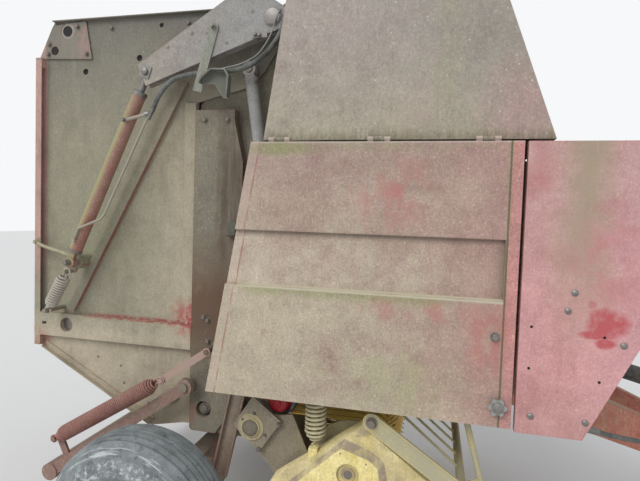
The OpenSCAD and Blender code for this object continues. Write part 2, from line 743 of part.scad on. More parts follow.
module pickup_frame() {
    side_y = post_y;
    // Bearing plate that stands off the arm, with its bolts
    diamond = [[360, 826], [506, 720], [399, 562], [263, 676]];
    bolts = [[497, 708], [399, 574]];
    hub = [852, 580];
    color(yellow) from_axle() {
        both_sides() {
            difference() {
                union() {
                    plate(side_y, 12) polygon([[300, 690], [350, 750], [487, 738], [554, 750], [631, 583],
                        [700, 600], [700, reel[1] - band_r - 2], [540, reel[1] - band_r - 2], [479, 450], [390, 545],
                        [310, 640]]);
                    cross_rod(reel, band_r + 5, side_y, side_y + 12);
                    for (p = bolts) cross_rod(p, 12, side_y + 11, side_y + 33);
                    plate(side_y + 32, 8) polygon(diamond);
                    cross_rod(pickup_pivot, 65, side_y + 39, side_y + 46);
                    cross_rod(pickup_pivot, 46, side_y, side_y + 54);
                }
                cross_rod(pickup_pivot, 31, side_y - 10, side_y + 60);
                cross_rod(reel, 30.3, side_y - 10, side_y + 50);
            }
            difference() {
                plate(cover_y, 100) cover_outline(0);
                plate(cover_y - 1, 97) cover_outline(6);
            }
            // Pressed dome of the cover, with the hub of the reel's drive
            difference() {
                hull() {
                    plate(cover_y + 98, 1) polygon([[520, 450], [833, 738], [948, 701], [1010, 656], [1026, 577],
                        [1000, 520], [640, 430]]);
                    plate(cover_y + 111, 1) polygon([[560, 450], [817, 690], [940, 655], [978, 625], [985, 580],
                        [960, 530], [650, 450]]);
                }
                cross_rod(hub, 50, cover_y + 90, cover_y + 120);
            }
            cross_rod(hub, 30, side_y + 11, cover_y + 108);
            plate(cover_y + 91, 11) polygon([[880, 750], [935, 760], [978, 822], [948, 858], [918, 836]]);
            cross_rod(guard_pivot, 14, cover_y + 98, cover_y + 126);
            box([flotation_foot[0] - 20, flotation_y + 18, 600], [flotation_foot[0] + 20, cover_y + 99, 670]);
            cross_rod(flotation_foot, 8, flotation_y - 13, flotation_y + 24);
            cross_rod([1000, 700], 20, side_y + 12, cover_y + 97);
            cross_rod([700, 560], 20, side_y + 12, cover_y + 97);
        }
    }
}

module pickup_crossbar() {
    color(yellow) from_axle() {
        cross_rod([500, 620], 32, -post_y, post_y);
        box([534, -post_y, reel[1] - band_r], [546, post_y, reel[1] + band_r]);
    }
}

module band_outline(r) {
    circle(r = r, $fn = 96);
    translate([546 - reel[0], -r]) square([reel[0] - 546, 2 * r]);
}

module stripper_bands() {
    gap = tine_pitch - 14;
    color(yellow) from_axle() for (i = [0:tine_count]) {
        low = max((i - tine_count / 2) * tine_pitch - gap / 2, -post_y);
        high = min((i - tine_count / 2) * tine_pitch + gap / 2, post_y);
        translate([reel[0], 0, reel[1]]) plate(low, high - low) difference() {
            band_outline(band_r);
            band_outline(band_r - 3);
        }
    }
}

module pickup_reel() {
    color(steel) from_axle() {
        cross_rod(reel, 30, -post_y - 10.7, post_y + 10.7);
        for (s = [-1, 0, 1]) cross_rod(reel, 140, s * (reel_half - 20) - 4, s * (reel_half - 20) + 4);
        for (b = [0:bar_count - 1]) translate([reel[0], 0, reel[1]]) rotate([0, 45 + b * 360 / bar_count, 0]) {
            translate([120, reel_half - 10, 0]) rotate([90, 0, 0]) cylinder(h = 2 * reel_half - 20, r = 16);
            for (i = [0:tine_count - 1])
                translate([120, (i - (tine_count - 1) / 2) * tine_pitch, 0]) rotate([0, 90, 0])
                    cylinder(h = tine_tip_r - 120, r = 3);
        }
    }
}

module windguard() {
    // Rod that hangs outside the arm, held by a strap
    rod_low = [1404, 611];
    color(yellow) from_axle() {
        both_sides() {
            difference() {
                union() {
                    flat_bar(guard_pivot, guard_tube, 76, guard_y, 8);
                    cross_rod(guard_pivot, 38, guard_y - 2, guard_y + 10);
                    flat_bar(guard_pivot + [30, 22], guard_tube + [20, 30], 5, guard_y + 1, 15);
                }
                cross_rod(guard_pivot, 14.3, guard_y - 10, guard_y + 24);
            }
            flat_bar(guard_tube, rod_low, 30, flotation_y - 8, 8);
            along([1420, 560], [1322, 920], flotation_y - 4) cylinder(h = 380, r = 13);
        }
        cross_rod(guard_tube, 20, -guard_y - 4, guard_y + 4);
        for (i = [0:guard_rods - 1]) {
            y = (i - (guard_rods - 1) / 2) * 1200 / (guard_rods - 1);
            along(guard_tube, [980, 862], y) cylinder(h = 450, r = 6);
        }
    }
}

module flotation_springs() {
    color(yellow) from_axle() both_sides()
        spring(flotation_foot, flotation_top, flotation_y, 50, 12, 18, 34, 8);
}

module bale_ramp() {
    color(red) from_axle() {
        both_sides() {
            difference() {
                union() {
                    flat_bar(ramp_pivot, ramp_end, 56, ramp_y, 28);
                    cross_rod(ramp_pivot, 40, ramp_y - 2, ramp_y + 30);
                }
                cross_rod(ramp_pivot, 23, ramp_y - 6, ramp_y + 34);
            }
            flat_bar([-640, 386], ramp_ear, 36, ramp_y + 8, 14);
            cross_rod(ramp_ear, 12, ramp_y + 10, ramp_spring_y + 12);
        }
        cross_rod(ramp_end, 44, -ramp_y - 36, ramp_y + 36);
        cross_rod([-420, 537], 26, -ramp_y - 4, ramp_y + 4);
    }
}

module ramp_springs() {
    color(red) from_axle() both_sides() {
        spring(ramp_ear, ramp_hook, ramp_spring_y, 42, 12, 11.5, 40, 12);
        difference() {
            flat_bar(ramp_hook, ramp_link, 30, ramp_spring_y - 12, 7);
            cross_rod(ramp_link, 12.2, ramp_y, ramp_spring_y + 40);
        }
    }
}

main_frame();
cross_members();
shield_brackets();
axle();
tongue();
hitch_clevis();
gearbox();
frame_rolls();
frame_belts();
side_drives();
drive_chains();
upper_panels();
front_shields();
front_hood();
twine_box();
twine_lid();
hydraulic_hose();
jack_tube();
jack_leg();
driveline_guard();
driveline_shaft();
tyre_left();
rim_left();
tyre_right();
rim_right();
tailgate();
tailgate_rolls();
tailgate_belts();
density_springs();
tension_arms();
tension_barrels();
tension_rods();
lift_barrels();
lift_rods();
safety_stops();
shield_left();
shield_right();
pickup_frame();
pickup_crossbar();
stripper_bands();
pickup_reel();
windguard();
flotation_springs();
bale_ramp();
ramp_springs();
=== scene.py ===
import math

import bpy
import bmesh
from mathutils import Matrix, Vector


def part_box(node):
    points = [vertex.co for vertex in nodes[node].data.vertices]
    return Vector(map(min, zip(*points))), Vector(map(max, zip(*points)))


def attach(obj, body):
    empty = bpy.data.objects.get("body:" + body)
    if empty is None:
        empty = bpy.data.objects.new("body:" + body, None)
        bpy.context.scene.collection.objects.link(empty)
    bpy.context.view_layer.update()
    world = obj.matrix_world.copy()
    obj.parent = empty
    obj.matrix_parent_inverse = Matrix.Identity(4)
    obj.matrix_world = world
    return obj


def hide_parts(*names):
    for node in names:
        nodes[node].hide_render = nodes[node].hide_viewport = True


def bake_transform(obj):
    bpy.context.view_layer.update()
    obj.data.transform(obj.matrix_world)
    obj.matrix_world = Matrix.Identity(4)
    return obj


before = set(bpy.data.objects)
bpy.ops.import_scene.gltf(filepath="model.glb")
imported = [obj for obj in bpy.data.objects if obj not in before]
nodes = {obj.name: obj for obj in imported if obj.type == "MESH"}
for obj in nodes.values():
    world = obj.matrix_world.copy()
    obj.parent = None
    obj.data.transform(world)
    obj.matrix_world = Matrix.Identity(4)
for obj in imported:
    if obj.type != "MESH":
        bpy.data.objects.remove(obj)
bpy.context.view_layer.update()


# Where things stand. The axle's line is the builder's zero along the machine, so lengths in the
# side view are measured forward from it, in millimetres.
tyre_low, tyre_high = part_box("tyre_left")
axle_x = (tyre_low[0] + tyre_high[0]) / 2
tyre_r = (tyre_high[0] - tyre_low[0]) / 2


def at(x, y, z):
    """A point given in millimetres: forward of the axle, left of the middle, above the ground."""
    return Vector((axle_x + x / 1000, y / 1000, z / 1000))


# Camera. It stands on the machine's right, about level with its shields, and looks a little back. Its
# axes were worked out from edges that are level or upright on the machine.
camera_data = bpy.data.cameras.new("photo_camera")
camera_data.lens = 27.06
camera_data.sensor_width = 36
camera = bpy.data.objects.new("photo_camera", camera_data)
bpy.context.scene.collection.objects.link(camera)
camera_right = Vector((0.9725, 0.2305, 0.0331))
camera_up = Vector((-0.0429, 0.0374, 0.9984))
camera_back = camera_right.cross(camera_up)
turn = Matrix((camera_right, camera_up, camera_back)).transposed().to_4x4()
camera.matrix_world = Matrix.Translation(at(1170, -2830, 1690)) @ turn
bpy.context.scene.camera = camera


# Studio. A pale floor, an even sky and one wide soft lamp from above the camera's left. The camera and
# glossy faces see the sky brighter than it lights the machine.
def feed(node, values):
    """Sets a node's inputs. A value that another node puts out is linked, and any other is typed in."""
    for key, value in values.items():
        value = getattr(value, "socket", value)
        if isinstance(value, bpy.types.NodeSocket):
            node.id_data.links.new(value, node.inputs[key])
        else:
            node.inputs[key].default_value = value
    return node


def put(tree, kind, values=None, **settings):
    """One shader node, with its settings and its inputs."""
    made = tree.nodes.new("ShaderNode" + kind)
    for name, value in settings.items():
        setattr(made, name, value)
    return feed(made, values or {})


def new_finish(name):
    """A material, its node tree and its shader."""
    made = bpy.data.materials.new(name)
    made.use_nodes = True
    return made, made.node_tree, made.node_tree.nodes["Principled BSDF"]


floor_finish, _, floor_shader = new_finish("studio_floor")
feed(floor_shader, {"Base Color": (0.80, 0.80, 0.79, 1), "Roughness": 0.9})
bpy.ops.mesh.primitive_plane_add(size=60, location=(0, 0, -0.001))
floor = bpy.context.object
floor.name = "studio_floor"
floor.data.materials.append(floor_finish)

world = bpy.data.worlds.new("studio_sky")
bpy.context.scene.world = world
world.use_nodes = True
sky = world.node_tree
sky.nodes.clear()
seen = put(sky, "LightPath")
direct = put(sky, "Math", {0: seen.outputs["Is Camera Ray"], 1: seen.outputs["Is Glossy Ray"]},
             operation="MAXIMUM")
light = put(sky, "Background", {"Color": (0.93, 0.96, 1.0, 1), "Strength": 0.62})
backdrop = put(sky, "Background", {"Color": (0.93, 0.94, 0.95, 1), "Strength": 1.0})
choice = put(sky, "MixShader", {0: direct.outputs[0], 1: light.outputs[0], 2: backdrop.outputs[0]})
put(sky, "OutputWorld", {"Surface": choice.outputs[0]})

lamp_data = bpy.data.lights.new("soft_lamp", "SUN")
lamp_data.energy = 1.5
lamp_data.angle = math.radians(35)
lamp_data.color = (1.0, 0.98, 0.95)
lamp = bpy.data.objects.new("soft_lamp", lamp_data)
bpy.context.scene.collection.objects.link(lamp)
lamp.rotation_euler = (math.radians(48), math.radians(-12), math.radians(-14))
bpy.context.scene.view_settings.view_transform = "Standard"


# Hydraulic hose. Black rubber over wire braid, clipped to the tongue behind the front shield. It
# sags along the tongue and its coupler is pushed into a holder near the hitch.
class Reading:
    """A number or colour read at each point of a surface. Sums of readings make shader nodes, and
    a | b keeps the larger of two."""

    def __init__(self, socket):
        self.socket = socket
        self.tree = socket.id_data

    def maths(self, operation, a, b=0.0):
        return Reading(put(self.tree, "Math", {0: a, 1: b}, operation=operation).outputs[0])

    def __add__(self, other):
        return self.maths("ADD", self, other)

    def __sub__(self, other):
        return self.maths("SUBTRACT", self, other)

    def __rsub__(self, other):
        return self.maths("SUBTRACT", other, self)

    def __mul__(self, other):
        return self.maths("MULTIPLY", self, other)

    def __or__(self, other):
        return self.maths("MAXIMUM", self, other)

    def __abs__(self):
        return self.maths("ABSOLUTE", self)

    def root(self):
        return self.maths("SQRT", self)


def between(reading, low, high, start=0.0, end=1.0):
    """Runs from start where the reading is low to end where it is high, and no further."""
    made = put(reading.tree, "MapRange", {"Value": reading, "From Min": low, "From Max": high,
                                          "To Min": start, "To Max": end})
    return Reading(made.outputs["Result"])


def blend_colour(amount, a, b):
    """Lays colour b over colour a by the amount. Each is three numbers or a reading."""
    a, b = [(*colour, 1) if isinstance(colour, tuple) else colour for colour in (a, b)]
    return Reading(put(amount.tree, "Mix", {0: amount, 6: a, 7: b}, data_type="RGBA").outputs[2])


def flecks(tree, size, detail=6.0, stretch=(1, 1, 1)):
    """Noise over the part's own coordinates, size times a metre, stretched along its axes."""
    place = put(tree, "TexCoord").outputs["Object"]
    scaled = put(tree, "VectorMath", {0: place, 1: Vector(stretch) * size}, operation="MULTIPLY").outputs[0]
    return Reading(put(tree, "TexNoise", {"Vector": scaled, "Scale": 1.0, "Detail": detail,
                                          "Roughness": 0.65}).outputs["Fac"])


def raised(height, strength, distance):
    """A normal for a surface that stands up where the reading is high, by up to the distance."""
    return put(height.tree, "Bump", {"Height": height, "Strength": strength, "Distance": distance}).outputs[0]


def dull_surface(name, colour, dust, roughness=0.7, metallic=0.0, dusty=0.5, grain=30):
    """A plain stuff such as rubber or bare steel, under uneven dust."""
    made, tree, shader = new_finish(name)
    fine = flecks(tree, grain, 8)
    mask = between(flecks(tree, 6) * 1.3 + fine + dusty, 1.25, 1.95)
    tone = blend_colour(between(fine, 0.35, 0.65), tuple(0.6 * c for c in colour), colour)
    feed(shader, {"Base Color": blend_colour(mask, tone, dust),
                  "Roughness": between(mask, 0, 1, roughness, 0.95),
                  "Normal": raised(fine, 0.25, 0.001)})
    if metallic:
        feed(shader, {"Metallic": between(mask, 0, 1, metallic, 0.0)})
    return made


def skin(build, rings):
    """Faces over rings that have the same number of points, closed at both ends."""
    rings = [[build.verts.new(point) for point in ring] for ring in rings]
    for low, high in zip(rings, rings[1:]):
        for k in range(len(low)):
            after = (k + 1) % len(low)
            build.faces.new((low[k], low[after], high[after], high[k]))
    build.faces.new(rings[0][::-1])
    build.faces.new(rings[-1])


def sweep(build, points, radius, sides=8):
    """A round tube along the points, closed at its ends. Its radius is in millimetres."""
    points = [Vector(p) for p in points]
    upright = (points[1] - points[0]).orthogonal().normalized()
    turns = [2 * math.pi * k / sides for k in range(sides)]
    rings = []
    for i, point in enumerate(points):
        ahead = (points[min(i + 1, len(points) - 1)] - points[max(i - 1, 0)]).normalized()
        upright = (upright - ahead * upright.dot(ahead)).normalized()
        across = ahead.cross(upright)
        rings.append([point + radius / 1000 * (math.cos(a) * upright + math.sin(a) * across) for a in turns])
    skin(build, rings)


def lathe(build, centre, axis, profile, sides=24):
    """Turns a profile of (distance along the axis, radius), in millimetres, about the axis."""
    centre, axis = Vector(centre), Vector(axis).normalized()
    first = axis.orthogonal().normalized()
    second = axis.cross(first)
    turns = [2 * math.pi * (k + 0.5) / sides for k in range(sides)]
    rings = []
    for reach, radius in profile:
        spokes = [math.cos(a) * first + math.sin(a) * second for a in turns] if radius else [Vector()]
        rings.append([build.verts.new(centre + (reach * axis + radius * spoke) / 1000) for spoke in spokes])
    for low, high in zip(rings, rings[1:]):
        for k in range(sides):
            after = (k + 1) % sides
            if len(low) == 1 and len(high) > 1:
                build.faces.new((low[0], high[after], high[k]))
            elif len(high) == 1 and len(low) > 1:
                build.faces.new((low[k], low[after], high[0]))
            elif len(low) > 1:
                build.faces.new((low[k], low[after], high[after], high[k]))


def stud(build, centre, axis, profile, sides=24):
    """A solid round part, from its profile without the closing ends."""
    first, last = [[(reach, 0)] if radius else [] for reach, radius in (profile[0], profile[-1])]
    lathe(build, centre, axis, first + profile + last, sides)


def curve_through(points, steps=6):
    """A smooth run through the points."""
    points = [Vector(p) for p in points]
    padded = [2 * points[0] - points[1]] + points + [2 * points[-1] - points[-2]]
    run = []
    for a, b, c, d in zip(padded, padded[1:], padded[2:], padded[3:]):
        for k in range(steps):
            t = k / steps
            run.append(0.5 * (2 * b + (c - a) * t + (2 * a - 5 * b + 4 * c - d) * t ** 2
                              + (3 * b - a - 3 * c + d) * t ** 3))
    return run + [points[-1]]


def new_piece(name, build, material, body=None):
    """A piece of the machine from its mesh, smooth except at its corners, riding on a body."""
    mesh = bpy.data.meshes.new(name)
    bmesh.ops.recalc_face_normals(build, faces=build.faces)
    build.to_mesh(mesh)
    build.free()
    mesh.materials.append(material)
    for face in mesh.polygons:
        face.use_smooth = True
    mesh.set_sharp_from_angle(angle=math.radians(38))
    made = bpy.data.objects.new(name, mesh)
    bpy.context.scene.collection.objects.link(made)
    if body:
        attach(made, body)
    return made


hose_rubber = dull_surface("hose_rubber", (0.045, 0.045, 0.045), (0.21, 0.22, 0.20), 0.6, dusty=0.45, grain=60)
dull_steel = dull_surface("dull_steel", (0.30, 0.29, 0.28), (0.23, 0.19, 0.15), 0.45, 0.85, dusty=0.2, grain=90)
hose_diameter = 0.022
hose_route = [at(*p) for p in (
    (1873.3, -500, 790), (1905, -499, 785), (1950, -488, 772), (2010, -465, 757), (2085, -436, 740),
    (2170, -402, 722), (2250, -365, 706), (2330, -325, 692), (2410, -283, 680), (2480, -245, 674),
    (2540, -210, 674), (2590, -178, 677), (2630, -150, 681), (2660, -130, 686), (2684.7, -118, 690))]
hose_run = curve_through(hose_route)
hose_length = sum((b - a).length for a, b in zip(hose_run, hose_run[1:]))
build = bmesh.new()
sweep(build, hose_run, hose_diameter * 1000 / 2, 14)
hose = new_piece("tongue_hose", build, hose_rubber, "frame")
build = bmesh.new()
for end, ahead in ((hose_run[0], hose_run[1] - hose_run[0]), (hose_run[-1], hose_run[-2] - hose_run[-1])):
    stud(build, end, ahead, [(-11, 14), (0, 16), (34, 16), (36, 13.5), (50, 13), (52, 0)], 16)
hose_ends = new_piece("tongue_hose_ferrules", build, dull_steel, "frame")
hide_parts("hydraulic_hose")
tuple(hose_route[0])
[tuple(p) for p in hose_run]


# Side sheets, posts and cross members. Pressed and welded sheet, once red enamel, now khaki with dust
# and algae. Bolts in threes hold the bearings of the rolls to the sheets.
def shader_group(name, inputs, outputs):
    """An empty node group: its tree, the readings it is given by name, and the node that ends it."""
    group = bpy.data.node_groups.new(name, "ShaderNodeTree")
    for label, value in inputs.items():
        kind = "Float" if isinstance(value, float) else "Color"
        socket = group.interface.new_socket(label, in_out="INPUT", socket_type="NodeSocket" + kind)
        socket.default_value = value
    for label, kind in outputs.items():
        group.interface.new_socket(label, in_out="OUTPUT", socket_type="NodeSocket" + kind)
    start = group.nodes.new("NodeGroupInput").outputs
    return group, {label: Reading(start[label]) for label in inputs}, group.nodes.new("NodeGroupOutput")


def read(tree, axis, kind="Object"):
    """Where a point lies along an axis, in metres, or with Normal how far the surface faces that way."""
    return Reading(put(tree, "SeparateXYZ", {0: put(tree, "TexCoord").outputs[kind]}).outputs[axis])


field_dirt, given, shown = shader_group(
    "field_dirt",
    {"Paint": (0.4, 0.1, 0.07, 1), "Dust": (0.3, 0.25, 0.18, 1), "Algae": (0.25, 0.27, 0.12, 1), "Dusty": 0.5,
     "Mossy": 0.0, "Specks": 0.5, "Contrast": 1.0},
    {"Color": "Color", "Roughness": "Float", "Height": "Float"})
broad = flecks(field_dirt, 1.9, 4)
mottle = flecks(field_dirt, 12, 9)
speckle = flecks(field_dirt, 115, 5)
streak = flecks(field_dirt, 1, 6, (46, 46, 3.2))
strokes = flecks(field_dirt, 1, 4, (175, 175, 20))
# Dust gathers in broad clouds and runs, and most on what faces up
dusting = (broad - 0.5) * 1.5 + given["Dusty"] + (mottle - 0.5) + (streak - 0.5) * 0.8
dust_mask = between(dusting + read(field_dirt, "Z", "Normal") * 0.3, 0.0, 0.85)
dirty = blend_colour(dust_mask, given["Paint"], given["Dust"])
# Short brown strokes and specks where rain has run, and pale ones where lichen has taken
brown = between(strokes, 0.56, 0.66) * given["Specks"]
dirty = blend_colour(brown * 0.5, dirty, (0.235, 0.125, 0.095))
pale = between(speckle, 0.60, 0.70) * given["Specks"]
dirty = blend_colour(pale * 0.45, dirty, (0.62, 0.57, 0.50))
algae = between(mottle * 0.9 + streak * 0.8 + given["Mossy"], 1.0, 1.9) * 0.8
dirty = blend_colour(algae, dirty, given["Algae"])
# Lighter and darker by stroke, speckle and mottle, about the same mean
shade = strokes * 0.6 + speckle * 0.9 + mottle * 0.65 + broad * 0.5 - 1.325
shade = shade * given["Contrast"] + 1.0
feed(shown, {"Color": put(field_dirt, "VectorMath", {0: dirty, 1: shade}, operation="MULTIPLY").outputs[0],
             "Roughness": between(dust_mask, 0, 1, 0.5, 0.9),
             "Height": flecks(field_dirt, 4.5, 2) * 7.0 + mottle + speckle * 0.5})

# Rubbed edges: where two faces meet, broken up by noise.
rubbed_edges, given, shown = shader_group("rubbed_edges", {"Reach": 0.008, "Wear": 0.5}, {"Mask": "Float"})
rounded = put(rubbed_edges, "Bevel", {"Radius": given["Reach"]}, samples=4).outputs[0]
flat = put(rubbed_edges, "NewGeometry").outputs["Normal"]
meet = put(rubbed_edges, "VectorMath", {0: rounded, 1: flat}, operation="DOT_PRODUCT").outputs["Value"]
sharp = (1.0 - Reading(meet)) * 6.0
feed(shown, {"Mask": between(sharp * between(flecks(rubbed_edges, 17, 6) + given["Wear"], 0.8, 1.15), 0, 1)})


def use_group(tree, group, **values):
    """What the group puts out in a material, by name."""
    made = tree.nodes.new("ShaderNodeGroup")
    made.node_tree = group
    return {socket.name: Reading(socket) for socket in feed(made, values).outputs}


def enamel(name, paint, dust, dusty=0.5, mossy=0.0, specks=0.6, contrast=1.0, edge=(0.30, 0.10, 0.08),
           wear=0.45, reach=0.006, marks=None):
    """Old enamel under dirt, with its edges rubbed. marks() may change its dust, moss, colour and height."""
    made, tree, shader = new_finish(name)
    over = marks(tree) if marks else {}
    dirt = use_group(tree, field_dirt, Paint=(*paint, 1), Dust=over.get("dust", (*dust, 1)),
                     Dusty=over.get("dusty", dusty), Mossy=over.get("mossy", mossy), Specks=specks,
                     Contrast=contrast)
    colour, height = dirt["Color"], dirt["Height"]
    for mask, stain in over.get("stains", ()):
        colour = blend_colour(mask, colour, stain)
    colour = blend_colour(use_group(tree, rubbed_edges, Reach=reach, Wear=wear)["Mask"], colour, edge)
    if "height" in over:
        height = height + over["height"]
    feed(shader, {"Base Color": colour, "Roughness": dirt["Roughness"], "Normal": raised(height, 0.3, 0.002),
                  "Specular IOR Level": 0.3})
    return made


def coordinate(tree, axis):
    """Forward of the axle (X), left of the middle (Y) or up (Z), in millimetres."""
    metres = read(tree, axis)
    return (metres - axle_x if axis == "X" else metres) * 1000.0


def patch(tree, x, z, wide, tall, soft=0.6):
    """A soft oval mask about a point of the side view, all in millimetres, ragged at its edge."""
    across = (coordinate(tree, "X") - x) * (1 / wide)
    up = (coordinate(tree, "Z") - z) * (1 / tall)
    ragged = (flecks(tree, 14, 7) - 0.5) * 1.3 + (across * across + up * up).root()
    return between(ragged, 1 + soft / 2, 1 - soft / 2)


def finish(material, *names):
    """Gives carried-over CAD nodes their material."""
    for name in names:
        nodes[name].data.materials.clear()
        nodes[name].data.materials.append(material)


def bolt(build, place, out, across):
    """A hexagon bolt head on a washer."""
    half = across / 2
    stud(build, place, out, [(-1, half * 1.45), (2.5, half * 1.45)], 14)
    head = [(2, half * 1.1), (2 + 0.55 * across, half * 1.1), (3 + 0.6 * across, half * 0.9)]
    stud(build, place, out, head, 6)


def post_stains(tree):
    """Brown wet stains on the posts, and a brown stretch above their feet."""
    height = coordinate(tree, "Z")
    stain = between(flecks(tree, 1, 5, (16, 16, 1.0)), 0.34, 0.56) * patch(tree, 205, 1770, 74, 470, 1.1)
    brown = between(height, 1620, 1300) * between(height, 880, 1120) * between(flecks(tree, 9), 0.1, 0.45)
    return {"stains": [(stain * 0.85, (0.115, 0.082, 0.062)), (brown * 0.95, (0.145, 0.092, 0.062)),
                       (patch(tree, 20, 690, 28, 60) * 0.35, (0.34, 0.12, 0.10))]}


frame_paint = enamel("frame_paint", (0.25, 0.17, 0.13), (0.235, 0.215, 0.165), dusty=1.0, marks=post_stains)
finish(frame_paint, "main_frame", "cross_members")
bracket_paint = enamel("bracket_paint", (0.22, 0.15, 0.12), (0.20, 0.19, 0.13), dusty=0.7, mossy=0.4)
finish(bracket_paint, "shield_brackets")

bolt_steel = dull_surface("bolt_steel", (0.24, 0.23, 0.215), (0.25, 0.20, 0.155), 0.5, 0.7, dusty=0.42,
                          grain=120)
both_sides = ((-1, (0, -1, 0)), (1, (0, 1, 0)))
post_face, sheet_face, bearing_circle = 650, 604, 38
build = bmesh.new()
for side, out in both_sides:
    for x, z in ((99, 1167), (77, 1180), (102, 1062), (140, 1050), (60, 2150), (180, 2150)):
        bolt(build, at(x, side * post_face, z), out, 20)
    stud(build, at(84, side * 634, 714), out, [(-2, 30), (4, 30), (6, 22), (14, 20), (16, 15)], 24)
    for x, z in ((1080, 1180), (1290, 1900), (420, 800), (900, 1040)):
        for turned in (math.radians(90), math.radians(210), math.radians(330)):
            across, up = bearing_circle * math.cos(turned), bearing_circle * math.sin(turned)
            bolt(build, at(x + across, side * sheet_face, z + up), out, 14)
new_piece("frame_bolts", build, bolt_steel, "frame")

# Roll end covers. Moulded cups of red plastic over the bearings of the lower front roll, one on the
# outside of each side sheet.
cover_red = dull_surface("cover_red", (0.46, 0.018, 0.03), (0.33, 0.06, 0.05), 0.4, dusty=0.05, grain=40)
cup = [(-2, 56), (6, 58), (10, 52), (44, 50), (52, 42), (54, 16), (62, 14)]
build = bmesh.new()
for side, out in both_sides:
    stud(build, at(475, side * 600, 795), out, cup, 32)
new_piece("roll_end_covers", build, cover_red, "frame")

# Shield stops. Moulded blocks of dark rubber, tapered to the outside. One sits on each post, and the
# side shield closes against it.
stop_rubber = dull_surface("stop_rubber", (0.10, 0.10, 0.085), (0.17, 0.165, 0.125), 0.8, dusty=0.45, grain=90)
build = bmesh.new()
corners = [(-24, -34), (-24, 26), (-14, 36), (20, 36), (24, 28), (24, -30), (14, -38), (-16, -38)]
for side in (-1, 1):
    skin(build, [[at(224 + wide * x, side * y, 1625 + tall * z) for x, z in corners]
                 for wide, tall, y in ((1, 1, 648), (1, 1, 672), (0.8, 0.85, 680))])
new_piece("shield_stops", build, stop_rubber, "frame")


# Axle and its legs. A square steel tube with a spindle for each wheel, and channel legs up to the side
# sheets. Dusty taupe enamel with pinkish runs.
def leg_runs(tree):
    """Pinkish runs where water has come down."""
    run = flecks(tree, 1, 5, (30, 30, 1.4))
    return {"stains": [(between(run, 0.55, 0.68) * 0.5, (0.4, 0.22, 0.19))]}


axle_paint = enamel("axle_paint", (0.31, 0.19, 0.155), (0.27, 0.225, 0.175), dusty=0.7, marks=leg_runs)
finish(axle_paint, "axle")

# Tongue. Two welded box legs in red enamel, with less dust than the rest. It carries the clevis of the
# hitch and the jack, whose tube has the same paint and whose leg is bare steel.
tongue_paint = enamel("tongue_paint", (0.50, 0.13, 0.10), (0.42, 0.30, 0.20), dusty=0.3,
                      edge=(0.24, 0.13, 0.09))
finish(tongue_paint, "tongue", "jack_tube")
finish(dull_steel, "hitch_clevis", "jack_leg")


# Tyres. Ribbed implement tyres of black rubber, with three grooves on each half of the tread. They are
# grey with dry mud, and their ribs are scuffed almost white round the shoulder.
def tyre_finish():
    """Dry mud over rubber, with white scuffs that run round the wheel."""
    made, tree, shader = new_finish("scuffed_tyre")
    ahead, above = read(tree, "X") - axle_x, read(tree, "Z") - tyre_r
    round_hub = above.maths("ARCTAN2", above, ahead)
    out = (ahead * ahead + above * above).root()
    rolled = put(tree, "CombineXYZ", {"X": round_hub * 3.0, "Y": out * 90.0, "Z": read(tree, "Y") * 90.0})
    scuff = Reading(put(tree, "TexNoise", {"Vector": rolled.outputs[0], "Scale": 1.0, "Detail": 7,
                                           "Roughness": 0.7}).outputs["Fac"])
    mottle = flecks(tree, 14, 8)
    fine = flecks(tree, 150, 5)
    dusty = mottle * 1.6 + fine * 0.9 + scuff * 0.6
    colour = blend_colour(between(dusty, 1.2, 1.9), (0.135, 0.15, 0.155), (0.30, 0.335, 0.345))
    # White scuffs in thin arcs along the shoulder's ribs, and thick ones on the wall below them
    arcs = between(scuff, 0.60, 0.65) * between(mottle, 0.44, 0.56)
    ribs = between(out, 0.325, 0.335) * between(out, 0.362, 0.358) * between(scuff, 0.50, 0.58)
    wall = between(out, 0.235, 0.262) * between(out, 0.322, 0.300) * between(flecks(tree, 48, 8), 0.50, 0.58)
    colour = blend_colour((arcs | ribs | wall) * 0.75, colour, (0.60, 0.64, 0.64))
    dark = between(flecks(tree, 26, 5), 0.57, 0.70)
    colour = blend_colour(dark * 0.6, colour, (0.06, 0.065, 0.07))
    feed(shader, {"Base Color": colour, "Roughness": 0.88, "Normal": raised(fine + scuff, 0.4, 0.002)})
    return made


scuffed_tyre = tyre_finish()
half = (tyre_high[1] - tyre_low[1]) * 500
wheel_y, wheel_z = (tyre_low[1] + tyre_high[1]) * 500, tyre_r * 1000
# Half a section of the tyre as (out from the middle of its width, radius), from the bead to the tread
section = [(94.7, 178), (95.5, 196), (101, 200), (112, 204)]
section += [(half - inward, radius) for inward, radius in (
    (10, 222), (3, 240), (0, 262), (2, 266), (2, 272), (0, 276), (0.5, 290), (3, 312), (7.5, 334), (16, 352),
    (19, 353), (20, 359), (30, 366.5), (42, 374.5))]
section.append((88, wheel_z - 5 - 7.5 * (88 / 90) ** 2))
for groove in (80, 46, 12):
    crown = wheel_z - 10 * (groove / 88) ** 2
    section += [(groove + 6, crown - 1), (groove + 4.5, crown - 10),
                (groove - 4.5, crown - 10), (groove - 6, crown)]
section += [(-out, radius) for out, radius in section[::-1]]
for name, side in (("tyre_left", 1), ("tyre_right", -1)):
    build = bmesh.new()
    lathe(build, at(0, side * wheel_y, wheel_z), (0, 1, 0), section + [section[0]], 128)
    bmesh.ops.remove_doubles(build, verts=build.verts, dist=0.00001)
    tyre = new_piece(name + "_ribbed", build, scuffed_tyre, "wheel_" + name[5:])
    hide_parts(name)

